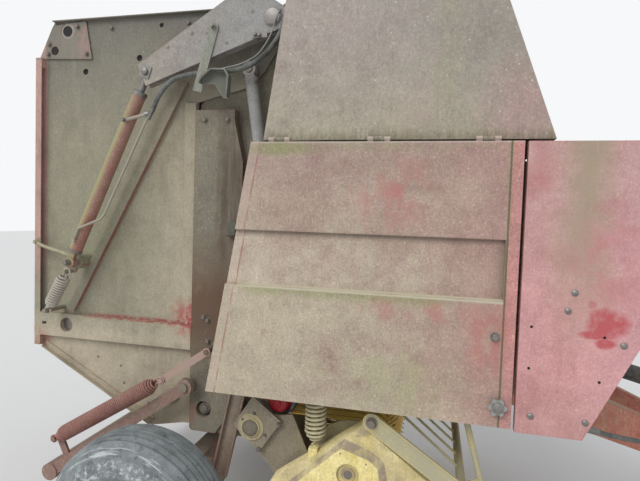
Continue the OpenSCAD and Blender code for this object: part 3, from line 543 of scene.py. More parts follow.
# Rims. Pressed steel wheels, yellow under the dirt, each held by six bolts round its hub. A cap closes
# the hub, and the tyre's valve stands in the well.
rim_paint = enamel("rim_paint", (0.42, 0.33, 0.12), (0.30, 0.25, 0.18), dusty=0.55, edge=(0.22, 0.12, 0.07))
bolt_count, bolt_circle = 6, 82
for name, side in (("rim_left", 1), ("rim_right", -1)):
    out = (0, side, 0)
    finish(rim_paint, name)
    build = bmesh.new()
    for k in range(bolt_count):
        turned = math.radians(360 / bolt_count * k + 30)
        across, up = bolt_circle * math.cos(turned), bolt_circle * math.sin(turned)
        bolt(build, at(across, side * (wheel_y + 28), wheel_z + up), out, 22)
    hub, valve = at(0, side * (wheel_y + 80), wheel_z), at(0, side * (wheel_y + 24), wheel_z + 148)
    stud(build, hub, out, [(-2, 40), (10, 39), (15, 34), (17, 12), (20, 10)], 28)
    stud(build, valve, out, [(0, 8), (10, 6), (34, 5), (36, 0)], 10)
    new_piece(name + "_bolts", build, bolt_steel, "wheel_" + name[4:])


# Tailgate. Two folded side sheets with welded ribs, joined by beams and hinged at the top. Khaki with
# dust all over, and red where the ribs are rubbed.
def gate_marks(tree):
    """Darker and greyer near the top as painted shade under the top flange, warmer below, red in the corner
    that the arm keeps dry.
    """
    forward, height = coordinate(tree, "X"), coordinate(tree, "Z")
    wander = flecks(tree, 3) * 500.0 - 250.0
    dust = blend_colour(between(forward + wander, -420, -60), (0.318, 0.298, 0.222), (0.415, 0.368, 0.272))
    # Painted shade: darker and greyer towards the top, for the shade under the folded top flange.
    dust = blend_colour(between(height + wander, 2050, 2700), dust, (0.180, 0.174, 0.150))
    dust = blend_colour(between(height, 1160, 1040), dust, (0.475, 0.415, 0.312))
    rear_strip = between(forward, -893, -900) * between(height, 1180, 1500)
    dust = blend_colour(rear_strip, dust, (0.52, 0.33, 0.285))
    smear = between(flecks(tree, 1, 6, (5, 5, 1.6)), 0.50, 0.68)
    clean = between(flecks(tree, 1, 5, (7, 7, 1.3)), 0.58, 0.72)
    rib_side = read(tree, "X", "Normal") * 0.88 + read(tree, "Z", "Normal") * -0.476
    rib_side = between(rib_side, 0.97, 0.99) * between(height, 2400, 1900)
    tatter = between(flecks(tree, 40, 6), 0.38, 0.56)
    corner = patch(tree, 5, 1165, 95, 75, 1.3) * tatter
    along_beam = between(height, 1119, 1126) * between(height, 1146, 1137) * between(forward, -660, -560)
    bracket = between(abs(coordinate(tree, "Y")), 613, 615) * between(height, 2480, 2484)
    bracket = bracket * between(forward, -608, -612)
    smudge = bracket * patch(tree, -650, 2560, 50, 110) * tatter
    tail = patch(tree, -925, 990, 60, 60, 1.0) * tatter
    return {"dust": dust, "mossy": patch(tree, -560, 1560, 260, 240, 1.2) * 0.28,
            "stains": [(smear * 0.30, (0.155, 0.145, 0.105)),
                       (clean * 0.25, (0.45, 0.40, 0.31)),
                       (corner * 0.9, (0.42, 0.06, 0.075)),
                       (bracket * 0.45, (0.27, 0.235, 0.20)),
                       (smudge * 0.6, (0.40, 0.265, 0.235)),
                       (tail * 0.7, (0.40, 0.13, 0.11)),
                       (rib_side * (tatter * 0.4 + 0.4), (0.37, 0.115, 0.10)),
                       (along_beam * tatter * 0.85, (0.34, 0.085, 0.075))]}


tailgate_paint = enamel("tailgate_paint", (0.29, 0.215, 0.165), (0.3, 0.28, 0.2), dusty=1.05, specks=0.35,
                        contrast=0.75, edge=(0.28, 0.15, 0.115), wear=0.3, reach=0.007, marks=gate_marks)
finish(tailgate_paint, "tailgate")
gate_face, bracket_face = 606, 616
build = bmesh.new()
for side, out in both_sides:
    for x, z in ((-642, 2512), (-700, 2655), (-880, 2520), (-874, 2572), (-500, 2640), (-60, 2640)):
        bolt(build, at(x, side * (bracket_face if x < -620 else gate_face), z), out, 18)
    stud(build, at(-735, side * gate_face, 1071), out, [(-2, 22), (4, 20), (6, 10)], 20)
    for x, z in ((-400, 780), (-420, 870), (-360, 740), (-250, 690), (-560, 905)):
        stud(build, at(x, side * 605.5, z), out, [(0, 8), (1.2, 7)], 10)
new_piece("tailgate_bolts", build, bolt_steel, "gate")

# Foot stays. A bent steel rod on each side, from a nut on the rear channel to the boss that carries the
# foot of the tension cylinder, in yellowed paint.
stay_paint = enamel("stay_paint", (0.42, 0.38, 0.24), (0.40, 0.37, 0.27), dusty=0.5, edge=(0.40, 0.28, 0.2))
build = bmesh.new()
for side, out in both_sides:
    corners = [(-918, 652, 1512), (-880, 658, 1496), (-800, 668, 1478), (-716, 674, 1460), (-668, 672, 1440)]
    sweep(build, curve_through([at(x, side * y, z) for x, y, z in corners], 4), 9, 10)
    stud(build, at(-918, side * 639, 1512), out, [(0, 20), (6, 20), (6, 14), (22, 14), (24, 9), (30, 9)], 6)
new_piece("foot_stays", build, stay_paint, "gate")

# Rubber plugs. Nearly black, pushed into the spare holes of the tailgate: three in each sheet, sunk
# below its face, and two in each corner bracket.
build = bmesh.new()
for side, out in both_sides:
    for x, z, radius, depth in ((-214, 2640, 12.5, 597), (-337, 2481, 17, 597), (-657, 2423, 17, 597)):
        stud(build, at(x, side * depth, z), out, [(0, radius), (2, radius), (1, radius / 1.3)], 20)
    for x, z, radius in ((-764, 2636, 27), (-842, 2537, 19)):
        plug = [(0, radius), (1.2, radius), (0.8, radius / 1.2), (0.4, 0)]
        stud(build, at(x, side * 615.6, z), out, plug, 28)
plug_rubber = dull_surface("plug_rubber", (0.018, 0.012, 0.016), (0.07, 0.045, 0.05), 0.8, dusty=0.1, grain=60)
new_piece("tailgate_plugs", build, plug_rubber, "gate")

# Rolls. Steel tubes that run in bearings across the chamber and the tailgate, polished by the belts
# under a bloom of brown rust.
roll_steel = dull_surface("roll_steel", (0.34, 0.32, 0.30), (0.20, 0.13, 0.09), 0.4, 0.85, dusty=0.25, grain=50)
finish(roll_steel, "frame_rolls", "tailgate_rolls")


# Belts. Flat belts of black rubber over woven plies, side by side round the rolls. They have a fine
# cross tread, with dust in it.
def belt_finish():
    """Rubber in fine bars, with dust between them."""
    made, tree, shader = new_finish("belt_rubber")
    place = put(tree, "TexCoord").outputs["Object"]
    bars = Reading(put(tree, "TexWave", {"Vector": place, "Scale": 28, "Distortion": 0.6, "Detail": 1},
                       wave_type="BANDS", bands_direction="Z").outputs["Fac"])
    mask = between(bars * -0.25 + flecks(tree, 12, 8), 0.25, 0.6)
    feed(shader, {"Base Color": blend_colour(mask, (0.028, 0.028, 0.028), (0.16, 0.145, 0.12)),
                  "Roughness": 0.85, "Normal": raised(bars, 0.5, 0.002)})
    return made


belt_rubber = belt_finish()
finish(belt_rubber, "frame_belts", "tailgate_belts")

# Belt lacing. Steel wire hooks in a row across each belt, joined by a pin. The joints are staggered
# from belt to belt down the tailgate's rear run.
belt_count, belt_pitch, hook_count, hook_pitch = 6, 188, 15, 10.6
upper_roll, lower_roll = Vector((-764, 2636)), Vector((-735, 1071))
fall = (lower_roll - upper_roll).normalized()
rearward = Vector((fall.y, -fall.x))
run_start, run_end = upper_roll + 52 * rearward, lower_roll + 57 * rearward
build = bmesh.new()
for belt in range(belt_count):
    joint = run_start.lerp(run_end, 0.22 + 0.10 * ((belt * 5) % 6))
    middle_y = (belt - (belt_count - 1) / 2) * belt_pitch
    sweep(build, [at(joint.x - 1.2, middle_y + reach, joint.y) for reach in (-78, 0, 78)], 2.2, 6)
    for k in range(hook_count):
        y = middle_y + (k - (hook_count - 1) / 2) * hook_pitch
        for way in (-1, 1):
            tip = joint + fall * way * 17
            sweep(build, [at(tip.x, y + 1.8 * way, tip.y), at(joint.x - 2.6, y + 1.8 * way, joint.y)], 1.3, 4)
new_piece("belt_lacing", build, dull_steel, "gate")


# Tension arms. Pairs of steel plates on a shaft through the tailgate's hinge, with a washer and a pin for
# the cylinder's eye. Greyish taupe, with brown spots where the paint has blistered.
def cells(tree, size):
    """How far a point lies from the middle of its cell, for round spots."""
    place = put(tree, "TexCoord").outputs["Object"]
    return Reading(put(tree, "TexVoronoi", {"Vector": place, "Scale": size,
                                            "Randomness": 1.0}).outputs["Distance"])


def arm_spots(tree):
    """Brown spots where the paint has blistered."""
    ragged = (flecks(tree, 60, 5) - 0.5) * 0.4 + cells(tree, 17)
    spots = between(ragged, 0.22, 0.10) * between(flecks(tree, 5), 0.44, 0.56)
    blots = between(flecks(tree, 22, 6), 0.56, 0.68) * between(flecks(tree, 4), 0.45, 0.6)
    warm = between(coordinate(tree, "X"), 250, -150)
    return {"dust": blend_colour(warm, (0.335, 0.330, 0.320), (0.375, 0.345, 0.300)),
            "stains": [(blots * 0.5, (0.20, 0.16, 0.13)), (spots * 0.7, (0.16, 0.11, 0.09))]}


arm_paint = enamel("arm_paint", (0.31, 0.265, 0.245), (0.335, 0.332, 0.315), dusty=0.95,
                   contrast=0.8, edge=(0.22, 0.15, 0.14), wear=0.4, marks=arm_spots)
finish(arm_paint, "tension_arms")
build = bmesh.new()
for side, out in both_sides:
    pin = at(-203, side * 754, 2362)
    washer = bmesh.ops.create_cube(build, size=1.0)["verts"]
    square = Matrix.Translation(pin + Vector((0, side * 0.003, 0))) @ Matrix.Rotation(math.radians(20), 4, "Y")
    square = square @ Matrix.Diagonal((0.056, 0.006, 0.056, 1))
    bmesh.ops.transform(build, matrix=square, verts=washer)
    stud(build, pin, out, [(4, 16.5), (14, 16.5), (17, 13), (18, 0)], 20)
    stud(build, at(430, side * 760, 2580), out, [(-6, 36), (4, 36), (6, 30)], 28)
    for x, z in ((372, 2502), (352, 2505), (150, 2549)):
        bolt(build, at(x, side * (774 if x == 150 else 759), z), out, 16)
new_piece("tension_arm_pins", build, dull_steel, "tension_arm")


# Tension cylinders. Red barrels, pinkish above and green with algae on the weather side, with a bare
# steel oil pipe along them and a tee at its end.
def barrel_marks(tree):
    """Green on the side that faces the weather, and the grey of the pipe beside the barrel."""
    weather = read(tree, "X", "Normal") * -0.91 + read(tree, "Z", "Normal") * 0.42
    weather = between(flecks(tree, 1, 6, (16, 16, 4)) * 1.2 + weather, 0.15, 0.85)
    weather = weather * between(coordinate(tree, "Z"), 2330, 2120)
    pipe = between(abs(coordinate(tree, "Y")), 763.5, 764.5)
    return {"stains": [(weather * 0.85, (0.36, 0.345, 0.175)), (pipe * 0.85, (0.38, 0.355, 0.30))]}


barrel_paint = enamel("barrel_paint", (0.40, 0.17, 0.14), (0.31, 0.225, 0.175), dusty=0.45,
                      edge=(0.22, 0.20, 0.17), marks=barrel_marks)
finish(barrel_paint, "tension_barrels")
finish(arm_paint, "lift_barrels")
finish(dull_steel, "tension_rods", "lift_rods")

foot, eye = Vector((-634, 1423)), Vector((-203, 2362))
along = (eye - foot).normalized()
build = bmesh.new()
for side, out in both_sides:
    for reach, radius, thick in ((915, 35, 20), (62, 34.5, 12)):
        spot = foot + along * reach
        gland = [(0, 18), (0, radius), (thick, radius), (thick + 3, radius - 4), (thick + 3, 18)]
        lathe(build, at(spot.x, side * 730, spot.y), (along.x, 0, along.y), gland, 24)
    tee = [(0, 11.5), (30, 11.5), (34, 14), (55, 14), (58, 10), (60, 0)]
    stud(build, at(-174, side * 772, 2133), (0.45, 0, 0.9), tee, 6)
    stud(build, at(-190, side * 772, 2157), (1, 0, 0.1), [(0, 11), (20, 11)], 6)
    bolt(build, at(-634, side * 758, 1423), out, 24)
    bolt(build, at(-300, side * 781, 2131), out, 16)
new_piece("tension_barrel_glands", build, dull_steel, "tension_barrel")

# Hoses over the tailgate's hinge. A thick rubber hose from the cylinder's tee to the frame, and a thin
# cable with it, both clipped at the hinge.
gate_hose_run = curve_through([at(*p) for p in (
    (-147, -776, 2178), (-117, -772, 2245), (-67, -758, 2310), (20, -742, 2345), (150, -738, 2351),
    (255, -740, 2358), (319, -746, 2371), (385, -752, 2408), (439, -756, 2461), (476, -758, 2520),
    (486, -758, 2583))])
cable_run = curve_through([at(*p) for p in (
    (160, -768, 2350), (218, -778, 2357), (290, -780, 2370), (366, -780, 2404), (410, -778, 2455),
    (437, -776, 2509), (452, -768, 2570), (470, -760, 2610))])
cable_grey = dull_surface("cable_grey", (0.20, 0.21, 0.21), (0.33, 0.33, 0.31), 0.6, dusty=0.5, grain=80)
for mirrored in (1, -1):
    for label, run, radius, stuff in (("hose", gate_hose_run, 11.5, hose_rubber),
                                      ("cable", cable_run, 3.2, cable_grey)):
        build = bmesh.new()
        sweep(build, [Vector((p.x, p.y * mirrored, p.z)) for p in run], radius, 10)
        side_name = "right" if mirrored == 1 else "left"
        hinge_hose = new_piece("gate_" + label + "_" + side_name, build, stuff)
        tuple(at(360, 0, 2400))
        tuple(at(470, 0, 2520))
        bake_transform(hinge_hose)


# Safety stops. Folded steel levers, galvanised, that drop over the lift rods and hold the tailgate up.
# Grey with a green cast.
def stop_marks(tree):
    """The inside of the channel lies in its own shade."""
    channel = between(abs(coordinate(tree, "Y")), 762.5, 763.5) * between(coordinate(tree, "Z"), 2380, 2365)
    return {"stains": [(channel * 0.8, (0.115, 0.118, 0.098))]}


zinc = enamel("zinc", (0.30, 0.305, 0.265), (0.25, 0.245, 0.195), dusty=0.5, specks=0.4,
              edge=(0.37, 0.38, 0.33), marks=stop_marks)
finish(zinc, "safety_stops")


# Density springs. Coils of spring wire in pale paint, below the feet of the tension cylinders. Each is
# hooked on a pin at both ends.
def coil(build, start, end, side, y, radius, wire, turns, lead, pin_r, taper=1.6):
    """A spring from start to end, points of the side view. A lead at each end hooks round its pin, and
    the turns beside it taper. All is in millimetres."""
    start, end = Vector(start), Vector(end)
    ahead = (end - start).normalized()
    outward = Vector((-ahead.y, ahead.x))
    length = (end - start).length
    points, per_turn = [], 14
    steps = int(turns * per_turn)
    for k in range(steps + 1):
        turned = 2 * math.pi * turns * k / steps
        reach = lead + (length - 2 * lead) * k / steps
        from_end = min(k, steps - k) / per_turn
        swing = (radius - wire / 2) * min(1.0, 0.45 + 0.55 * from_end / taper)
        spot = start + ahead * reach + outward * swing * math.cos(turned)
        points.append(at(spot.x, side * (y + swing * math.sin(turned)), spot.y))
    sweep(build, points, wire / 2, 7)
    ring = pin_r + wire / 2
    for pin, inward in ((start, ahead), (end, -ahead)):
        across = Vector((-inward.y, inward.x))
        hook = []
        for k in range(11):
            turned = math.radians(-150 + 300 * k / 10)
            hook.append(pin - inward * ring * math.cos(turned) + across * ring * math.sin(turned))
        hook.append(pin + inward * (lead * 0.72))
        hook.append(pin + inward * (lead + wire * 0.3) + across * (radius - wire / 2) * 0.45)
        sweep(build, curve_through([at(spot.x, side * y, spot.y) for spot in hook], 2), wire / 2, 7)


density_steel = enamel("density_steel", (0.50, 0.47, 0.42), (0.52, 0.48, 0.41), dusty=0.4, contrast=0.9,
                       edge=(0.46, 0.42, 0.36))
build = bmesh.new()
for side in (-1, 1):
    coil(build, (-778, 1162), (-662, 1372), side, y=722, radius=34, wire=9.6, turns=14, lead=26, pin_r=12)
density_coils = new_piece("density_coils", build, density_steel, "gate")
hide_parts("density_springs")


# Hinged shields. Pressed sheet with a shallow band across, red gone pinkish under taupe dust, with
# algae along the fold at the front, and a lobed knob that holds the lower corner.
shield_face = 880
fold_x, band_foot, band_top, top_hem = 1446, 1398, 1630, 2001
rear_edge_x, rear_edge_z, rear_edge_lean = 393, 2007, 0.1698


def shield_marks(tree):
    """Pinkish near the front and above, pale along the band, a painted shadow under the band's upper edge and a
    painted highlight on its ledge, green where water stands.
    """
    forward, height = coordinate(tree, "X"), coordinate(tree, "Z")
    from_edge = forward - (height * rear_edge_lean + (rear_edge_x - rear_edge_lean * rear_edge_z))
    from_fold = abs(forward - fold_x)
    wander = flecks(tree, 2.6, 6) * 520.0 - 260.0
    near_front = between(forward + wander, 950, 1560)
    dust = blend_colour(between(height + wander, 1480, 1900), (0.462, 0.402, 0.302), (0.405, 0.312, 0.262))
    dust = blend_colour(near_front * 0.9, dust, (0.425, 0.262, 0.235))
    band = between(height, band_foot - 4, band_foot + 4) * between(height, band_top + 4, band_top - 4)
    dust = blend_colour(band * between(forward + wander, 1350, 600) * 0.75, dust, (0.515, 0.435, 0.352))
    dust = blend_colour(between(forward, fold_x + 1, fold_x + 6) * 0.8, dust, (0.64, 0.26, 0.255))
    under = between(height, 1330, 1376) * between(height, 1392, 1386) * between(forward, 1330, 1180)
    under = under * between(from_edge, 60, 130)
    green = patch(tree, 520, 1978, 190, 30, 0.9) | under * 0.85 | between(from_fold, 26, 2) * 0.5
    green = green | patch(tree, 1050, 1010, 300, 150, 1.4) * 0.55 | patch(tree, 900, 1985, 500, 20, 0.9) * 0.5
    groove = between(from_fold, 5, 2)
    # Painted highlight: the up-facing ledge at the foot of the band is painted pale cream, as if it caught the
    # light.
    ledge_highlight = between(height, 1380, 1386) * between(height, 1401, 1396) * between(forward, fold_x - 2, fold_x - 6)
    ledge_highlight = ledge_highlight * between(from_edge, 50, 110)
    shadow = between(height, 1596, 1626) * between(height, 1636, 1630) | band * between(forward, 1385, 1438)
    shadow = shadow * between(forward, fold_x, fold_x - 4)
    lip = between(height, top_hem - 2, top_hem + 2)
    hem = between(from_edge, 44, 38)
    hem_line = between(abs(from_edge - 42.0), 5, 2) * between(flecks(tree, 1, 5, (60, 60, 9)), 0.40, 0.55)
    scar = between(flecks(tree, 9, 8), 0.60, 0.70)
    rubbed = patch(tree, 1395, 1250, 90, 130, 1.2) | patch(tree, 1160, 1330, 200, 40, 1.2)
    rubbed = rubbed | patch(tree, 1010, 1800, 130, 110, 1.3)
    rubbed = rubbed * between(flecks(tree, 14, 8, (1, 1, 0.5)), 0.42, 0.60)
    knob = between(abs(coordinate(tree, "Y")), shield_face + 0.5, shield_face + 1) * between(height, 1100, 1090)
    return {"dust": dust, "dusty": near_front * -0.2 + 0.8, "mossy": green * 0.9 - 0.05,
            "height": groove * -2.0,
            "stains": [(scar * 0.5, (0.30, 0.19, 0.16)),
                       (rubbed * 0.65, (0.47, 0.17, 0.15)),
                       (shadow * 0.5, (0.19, 0.15, 0.11)),
                       (hem * 0.25, (0.55, 0.42, 0.36)),
                       (hem_line * 0.7, (0.33, 0.13, 0.11)),
                       (ledge_highlight * 0.85, (0.57, 0.53, 0.40)),
                       (lip * 0.5, (0.56, 0.50, 0.42)),
                       (groove * 0.8, (0.10, 0.10, 0.05)),
                       (knob * 0.92, (0.30, 0.335, 0.325))]}


shield_paint = enamel("shield_paint", (0.43, 0.262, 0.232), (0.44, 0.37, 0.28), specks=0.8, contrast=1.1,
                      edge=(0.36, 0.17, 0.145), wear=0.3, reach=0.005, marks=shield_marks)
finish(shield_paint, "shield_left", "shield_right")
for name, side in (("side_shield_left", 1), ("side_shield_right", -1)):
    build = bmesh.new()
    out = (0, side, 0)
    knob = at(1438, side * shield_face, 985)
    stud(build, knob, out, [(20, 25.5), (26, 24), (27.5, 12), (28.5, 10)], 24)
    bolt(build, at(1418, side * shield_face, 1254), out, 26)
    new_piece(name + "_fittings", build, dull_steel, name)


# Front shields. Fixed sheets over the front corner, held by round-headed bolts. Their enamel is the
# reddest of all, with upright grain, and on the right a patch is rubbed back to bright red.
def front_marks(tree):
    """Redder below, olive where dust gathers, and on the right side a patch rubbed back to red."""
    forward, height = coordinate(tree, "X"), coordinate(tree, "Z")
    wander = flecks(tree, 5, 6) * 200.0 - 100.0
    olive = between(abs(forward - 1705.0 + wander), 120, 20) * between(height, 1200, 1650)
    dust = blend_colour(between(height + wander, 1350, 1800), (0.625, 0.335, 0.335), (0.545, 0.350, 0.330))
    dust = blend_colour(between(height, 1150, 900), dust, (0.535, 0.302, 0.288))
    dust = blend_colour(between(forward + wander, 1780, 2000) * 0.7, dust, (0.56, 0.305, 0.335))
    rubbed = patch(tree, 1805, 1332, 66, 60, 0.5) | patch(tree, 1768, 1292, 52, 16, 0.5)
    rubbed = rubbed | patch(tree, 1806, 1262, 34, 20, 0.5) | patch(tree, 1752, 1404, 14, 14, 0.5) * 0.5
    rubbed = rubbed * between(flecks(tree, 24, 6), 0.22, 0.50) * between(coordinate(tree, "Y"), 10, -10)
    faint = patch(tree, 1800, 1560, 130, 190, 1.2) | patch(tree, 1540, 1850, 60, 170, 1.2)
    faint = faint * between(flecks(tree, 10, 7), 0.36, 0.60)
    scratch = between(flecks(tree, 1, 3, (210, 210, 9)), 0.66, 0.72)
    return {"dust": dust,
            "stains": [(olive * 0.7, (0.345, 0.30, 0.20)), (faint * 0.55, (0.50, 0.19, 0.20)),
                       (scratch * 0.4, (0.70, 0.52, 0.49)), (rubbed * 0.85, (0.48, 0.08, 0.09))]}


front_paint = enamel("front_paint", (0.50, 0.225, 0.215), (0.55, 0.32, 0.3), dusty=0.8, specks=0.7,
                     contrast=0.75, edge=(0.40, 0.18, 0.16), wear=0.3, reach=0.005, marks=front_marks)
finish(front_paint, "front_shields", "front_hood", "twine_box", "twine_lid")
build = bmesh.new()
dark_holes = bmesh.new()
for side, out in both_sides:
    for x, z in ((1691, 1444), (1671, 1375), (1864, 1261), (1751, 959), (1930, 1700), (1560, 960)):
        stud(build, at(x, side * shield_face, z), out, [(-1, 12.5), (3, 12), (6.5, 8), (7.5, 0)], 18)
    for x, z in ((1799, 1285), (1790, 1117), (1547, 1305), (1545, 1145)):
        stud(dark_holes, at(x, side * shield_face, z), out, [(-1, 5.5), (0.4, 5.5)], 12)
new_piece("front_shield_bolts", build, dull_steel, "frame")
hole_black = dull_surface("hole_black", (0.012, 0.011, 0.010), (0.02, 0.018, 0.015), 0.9)
new_piece("front_shield_holes", dark_holes, hole_black, "frame")

# Hood and twine box. Round-headed steel bolts along both edges of the hood, hexagon ones across the
# front of the box, and handles of bent rod on its lid.
build = bmesh.new()
slope = Vector((-285, 784)).normalized()
for reach in (26, 790):
    for k in range(8):
        place = at(1603 + slope.x * reach, (k - 3.5) * 226, 2016 + slope.y * reach)
        stud(build, place, (0.94, 0, 0.342), [(-1, 11), (3, 10.5), (6, 6), (6.5, 0)], 14)
for k in range(6):
    bolt(build, at(1945, (k - 2.5) * 290, 1500), (1, 0, 0), 16)
new_piece("hood_bolts", build, dull_steel, "frame")
bow = ((-62, 1996), (-60, 2016), (-46, 2026), (46, 2026), (60, 2016), (62, 1996))
build = bmesh.new()
for y in (-420, 420):
    sweep(build, curve_through([at(1905, y + across, z) for across, z in bow], 3), 5, 8)
new_piece("twine_lid_handles", build, dull_steel, "lid")


# Upper panels. Sheets that lean in over the chamber, grey taupe with pale lichen and a dark green
# fringe of algae along the lower edge.
def panel_marks(tree):
    """Warmer low down and at the front corner, with round spots of lichen."""
    forward, height = coordinate(tree, "X"), coordinate(tree, "Z")
    wander = flecks(tree, 3, 5) * 500.0 - 250.0
    dust = blend_colour(between(forward + wander, 650, 1350), (0.418, 0.365, 0.328), (0.328, 0.296, 0.256))
    dust = blend_colour(between(height + wander, 2420, 2080) * 0.8, dust, (0.405, 0.362, 0.282))
    dust = blend_colour(patch(tree, 1490, 2080, 130, 200, 1.2) * 0.7, dust, (0.42, 0.275, 0.262))
    ragged = flecks(tree, 1, 6, (70, 70, 12)) * -130.0 + height
    fringe = between(ragged, 1996, 1950) * between(flecks(tree, 45, 7), 0.30, 0.52)
    green = patch(tree, 1195, 2330, 60, 300, 1.3) * 1.6 | between(height, 2140, 2040)
    lichen = between(cells(tree, 34), 0.16, 0.09) * between(flecks(tree, 7), 0.50, 0.58)
    pink = between(flecks(tree, 4, 7), 0.54, 0.72)
    return {"dust": dust, "mossy": green * 0.20,
            "stains": [(pink * 0.3, (0.40, 0.285, 0.26)), (fringe * 0.65, (0.150, 0.140, 0.080)),
                       (lichen * 0.8, (0.62, 0.60, 0.54))]}


panel_paint = enamel("panel_paint", (0.36, 0.285, 0.25), (0.36, 0.32, 0.28), dusty=1.0, specks=0.55,
                     contrast=0.9, edge=(0.28, 0.22, 0.18), wear=0.3, reach=0.005, marks=panel_marks)
finish(panel_paint, "upper_panels")


# Pickup. Side plates, pressed covers, stripper bands and windguard in yellow enamel, bolted together,
# with grey-purple grime and painted shade in the folds of the covers. The reel's spring steel is stained
# orange.
def pickup_marks(tree):
    """Grime and painted shade in the fold of the covers, and khaki dust on what lies inboard of them."""
    left = abs(coordinate(tree, "Y"))
    # The grey-purple in the fold of each cover is grime and painted shade together.
    grime_and_shade = between(left, 799.5, 800.5) * between(left, 811.8, 810.5)
    grime_and_shade = grime_and_shade * (between(flecks(tree, 11, 8), 0.36, 0.56) * 0.5 + 0.34)
    blots = between(flecks(tree, 8, 8), 0.57, 0.70)
    inner = between(left, 715, 690)
    dust = blend_colour(inner, (0.93, 0.82, 0.47), (0.31, 0.268, 0.205))
    yellow = inner * between(coordinate(tree, "X"), 560, 660)
    dust = blend_colour(yellow * 0.6, dust, (0.46, 0.40, 0.20))
    return {"dust": dust, "dusty": inner * 0.7 + 0.38,
            "stains": [(blots * 0.6, (0.33, 0.27, 0.18)), (grime_and_shade, (0.245, 0.195, 0.165))]}


pickup_paint = enamel("pickup_paint", (0.78, 0.64, 0.20), (0.72, 0.63, 0.34), contrast=1.1, specks=0.5,
                      edge=(0.62, 0.50, 0.20), wear=0.35, marks=pickup_marks)
finish(pickup_paint, "pickup_frame", "pickup_crossbar")
band_paint = enamel("band_paint", (0.92, 0.60, 0.07), (0.70, 0.52, 0.16), dusty=0.25, edge=(0.42, 0.24, 0.08),
                    wear=0.4)
finish(band_paint, "stripper_bands")


def guard_marks(tree):
    """Grey-green grime in patches over the rods."""
    grey = between(flecks(tree, 6, 6), 0.38, 0.55) * 0.8
    return {"stains": [(grey, (0.40, 0.38, 0.27))]}


guard_paint = enamel("guard_paint", (0.66, 0.55, 0.22), (0.52, 0.47, 0.28), dusty=0.5, edge=(0.74, 0.62, 0.24),
                     wear=0.6, marks=guard_marks)
finish(guard_paint, "windguard")
tine_steel = dull_surface("tine_steel", (0.60, 0.38, 0.07), (0.38, 0.25, 0.10), 0.5, 0.2, dusty=0.25, grain=60)
finish(tine_steel, "pickup_reel")
plate_face, cover_face = 690, 812
build = bmesh.new()
for side, out in both_sides:
    bolt(build, at(948, side * 820, 828), out, 34)
    for x, z, across in ((497, 708, 18), (399, 574, 18), (371, 745, 12), (428, 646, 12), (314, 712, 12),
                         (330, 640, 12)):
        bolt(build, at(x, side * plate_face, z), out, across)
    lathe(build, at(356, side * 704, 679), out, [(-2, 30), (-2, 40), (5, 40), (7, 37), (7, 30)], 32)
    for x, z in ((817, 672), (930, 640)):
        stud(build, at(x, side * cover_face, z), out, [(-1, 4), (0.4, 4)], 10)
    stud(build, at(852, side * 808, 580), out, [(0, 18), (3, 18), (4, 10)], 20)
new_piece("pickup_bolts", build, bolt_steel, "pickup")

# Tine coils. Each tine of spring steel is wound three times round its bar before it springs out. Twenty
# of them stand on each of the reel's four bars.
reel_x, reel_z, bar_circle, coil_r = 850, 560, 120, 20
tine_pitch, tine_count, bar_count = 64, 20, 4
build = bmesh.new()
for bar in range(bar_count):
    turned = math.radians(45 + 360 * bar / bar_count)
    middle = Vector((reel_x + bar_circle * math.cos(turned), reel_z - bar_circle * math.sin(turned)))
    for k in range(tine_count):
        y = (k - (tine_count - 1) / 2) * tine_pitch
        run = []
        for step in range(31):
            spun = 2 * math.pi * 3 * step / 30
            wound = middle + coil_r * Vector((math.cos(spun), math.sin(spun)))
            run.append(at(wound.x, y + 4 + 8 * step / 10, wound.y))
        sweep(build, run, 3.2, 4)
new_piece("tine_coils", build, tine_steel, "reel")

# Flotation springs. Thick spring wire in pale yellow paint, hooked between the frame and the pickup so
# that they take most of its weight.
spring_yellow = enamel("spring_yellow", (0.62, 0.58, 0.36), (0.42, 0.38, 0.26), dusty=0.35, contrast=1.2,
                       edge=(0.45, 0.36, 0.2))
build = bmesh.new()
for side in (-1, 1):
    coil(build, (690, 662), (690, 935), side, y=758, radius=50, wire=12, turns=10.5, lead=34, pin_r=8)
flotation_coils = new_piece("flotation_coils", build, spring_yellow)
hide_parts("flotation_springs")
tuple(at(690, 0, 925))
tuple(at(690, 0, 672))
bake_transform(flotation_coils)

# Ramp. Steel arms and a cross tube under the tailgate, in dull red enamel. A long red spring on each
# side holds them up, by a flat link to a stud on the frame.
ramp_paint = enamel("ramp_paint", (0.34, 0.175, 0.145), (0.29, 0.22, 0.18), dusty=0.6, edge=(0.40, 0.26, 0.22))
finish(ramp_paint, "bale_ramp")


def link_marks(tree):
    """The link ahead of each coil is paler than the coil."""
    link = between(coordinate(tree, "X"), -104, -100)
    return {"stains": [(link * 0.8, (0.46, 0.345, 0.295))]}


ramp_spring_paint = enamel("ramp_spring_paint", (0.38, 0.15, 0.13), (0.33, 0.215, 0.18), dusty=0.45,
                           edge=(0.44, 0.25, 0.21), marks=link_marks)
ramp_pin, hook, frame_stud = Vector((-698, 504)), Vector((-90, 876)), Vector((148, 1039))
ahead = (frame_stud - hook).normalized()
up = Vector((-ahead.y, ahead.x))
corners = [hook + ahead * reach + up * lean for reach, lean in ((-16, 19), (-16, -19), (300, -17), (300, 17))]
build = bmesh.new()
for side, out in both_sides:
    coil(build, ramp_pin, hook, side, y=760, radius=40, wire=9.4, turns=56, lead=34, pin_r=12, taper=3.4)
    skin(build, [[at(c.x, side * y, c.y) for c in corners] for y in (748, 755)])
    stud(build, at(hook.x, side * 748, hook.y), out, [(0, 12), (20, 12)], 14)
    lathe(build, at(frame_stud.x, side * 756, frame_stud.y), out, [(0, 12.5), (0, 20), (6, 20), (6, 12.5)], 18)
ramp_coils = new_piece("ramp_coils", build, ramp_spring_paint)
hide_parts("ramp_springs")
